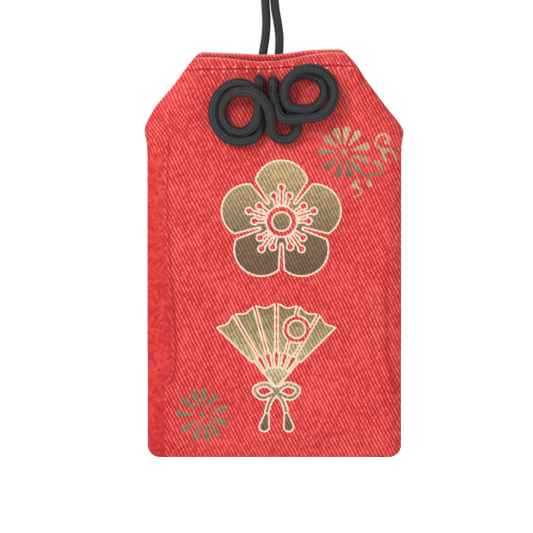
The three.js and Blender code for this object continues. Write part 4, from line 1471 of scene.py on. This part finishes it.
def hem_stitches(name, side, top):
    """Stitches along two lines, above and below a hem's seam."""
    x = np.linspace(HEM_START_X, HEM_END_X, HEM_POINTS)
    points, edges = [], []
    for offset in (-STITCH_OFFSET, STITCH_OFFSET):
        down = sagged(x, np.full_like(x, top + HEM_LINE + offset), top, side)
        line = at_pouch(surface(x, down, side, cloth_depth(x, down, side) + STITCH_LIFT))
        edges += [(len(points) + i, len(points) + i + 1) for i in range(len(line) - 1)]
        points += [tuple(p) for p in line]
    mesh = bpy.data.meshes.new(name)
    mesh.from_pydata(points, edges, [])
    piece = add_object(name, mesh)
    modifier = piece.modifiers.new("stitches", "NODES")
    modifier.node_group = STITCHES
    for item in STITCHES.interface.items_tree:
        if item.name in STITCH_VALUES:
            modifier[item.identifier] = STITCH_VALUES[item.name]
    return finished(piece)


# What each panel has: its maker, its material, its slot and the node that it stands for
LAYERS = {
    "panel": (panel, TWILL, "red_twill", "cloth"),
    "lining": (lining, FELT, "white_felt", "interlining"),
    "hem_stitches": (hem_stitches, GLINT, "red_thread", "hem_thread"),
}
for kind, (make, material, slot, node) in LAYERS.items():
    for name, side, top in PANELS:
        piece = dress(make(f"{name}_{kind}", side, top), material)
        declare(piece, "pouch", slot, f"{name}_{node}")

SOLIDS = {"seam_thread": THREAD, "stiffening_board": BOARD, "amulet_packet": PAPER, "amulet_slip": WOOD}
for node, material in SOLIDS.items():
    dress(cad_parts[node], material)

# The floor, the lights and the world, in metres

FLOOR_DROP = 105
FLOOR_HALF = 40
FLOOR_GLOW = 0.7
LIGHT_AIM = (0, 0, -0.09)
# Place, size and power
LIGHTS = {
    "key": ((-0.42, -0.62, 0.3), 0.4, 5),
    "fill": ((0.6, -0.5, 0.1), 0.6, 0.8),
    "back": ((-0.3, 0.75, 0.25), 0.6, 4),
}
WORLD_LIGHT = 0.4


def make_floor():
    """A floor that the camera sees as white."""
    ways = ((-1, -1), (1, -1), (1, 1), (-1, 1))
    corners = [(FLOOR_HALF * x, FLOOR_HALF * y, (MOUTH_Z - FLOOR_DROP) * MM) for x, y in ways]
    finish = Finish("pale_floor", 0.9)
    finish.colour(tone(240, 238, 236))
    glow = finish.seen("Glossy", "Transmission") * FLOOR_GLOW
    white = finish.flow("ShaderNodeEmission", 0, {"Color": (1, 1, 1, 1), "Strength": glow})
    both = finish.flow("ShaderNodeAddShader", 0, {0: finish.shader.outputs[0], 1: white})
    finish.put(finish.nodes["Material Output"].inputs["Surface"], both)
    floor = add_object("floor", mesh_from("floor", corners, [(0, 1, 2, 3)]))
    dress(floor, finish.material)


def make_light(name, place, size, power):
    data = bpy.data.lights.new(name, "AREA")
    data.size = size
    data.energy = power
    lamp = add_object(name, data)
    lamp.location = place
    lamp.rotation_euler = (Vector(LIGHT_AIM) - Vector(place)).to_track_quat("-Z", "Y").to_euler()


def make_world():
    """A world that the camera sees as white, and that lights the part with less."""
    world = bpy.data.worlds.new("world")
    bpy.context.scene.world = world
    world.use_nodes = True
    graph = Graph(world.node_tree)
    strengths = {"Value": graph.seen("Transmission"), "To Min": WORLD_LIGHT, "To Max": 1.0}
    background = graph.nodes["Background"].inputs
    background["Color"].default_value = (1, 1, 1, 1)
    graph.put(background["Strength"], graph.flow("ShaderNodeMapRange", "Result", strengths))


make_floor()
for name, settings in LIGHTS.items():
    make_light(name, *settings)
make_world()
bpy.context.scene.view_settings.view_transform = "Standard"
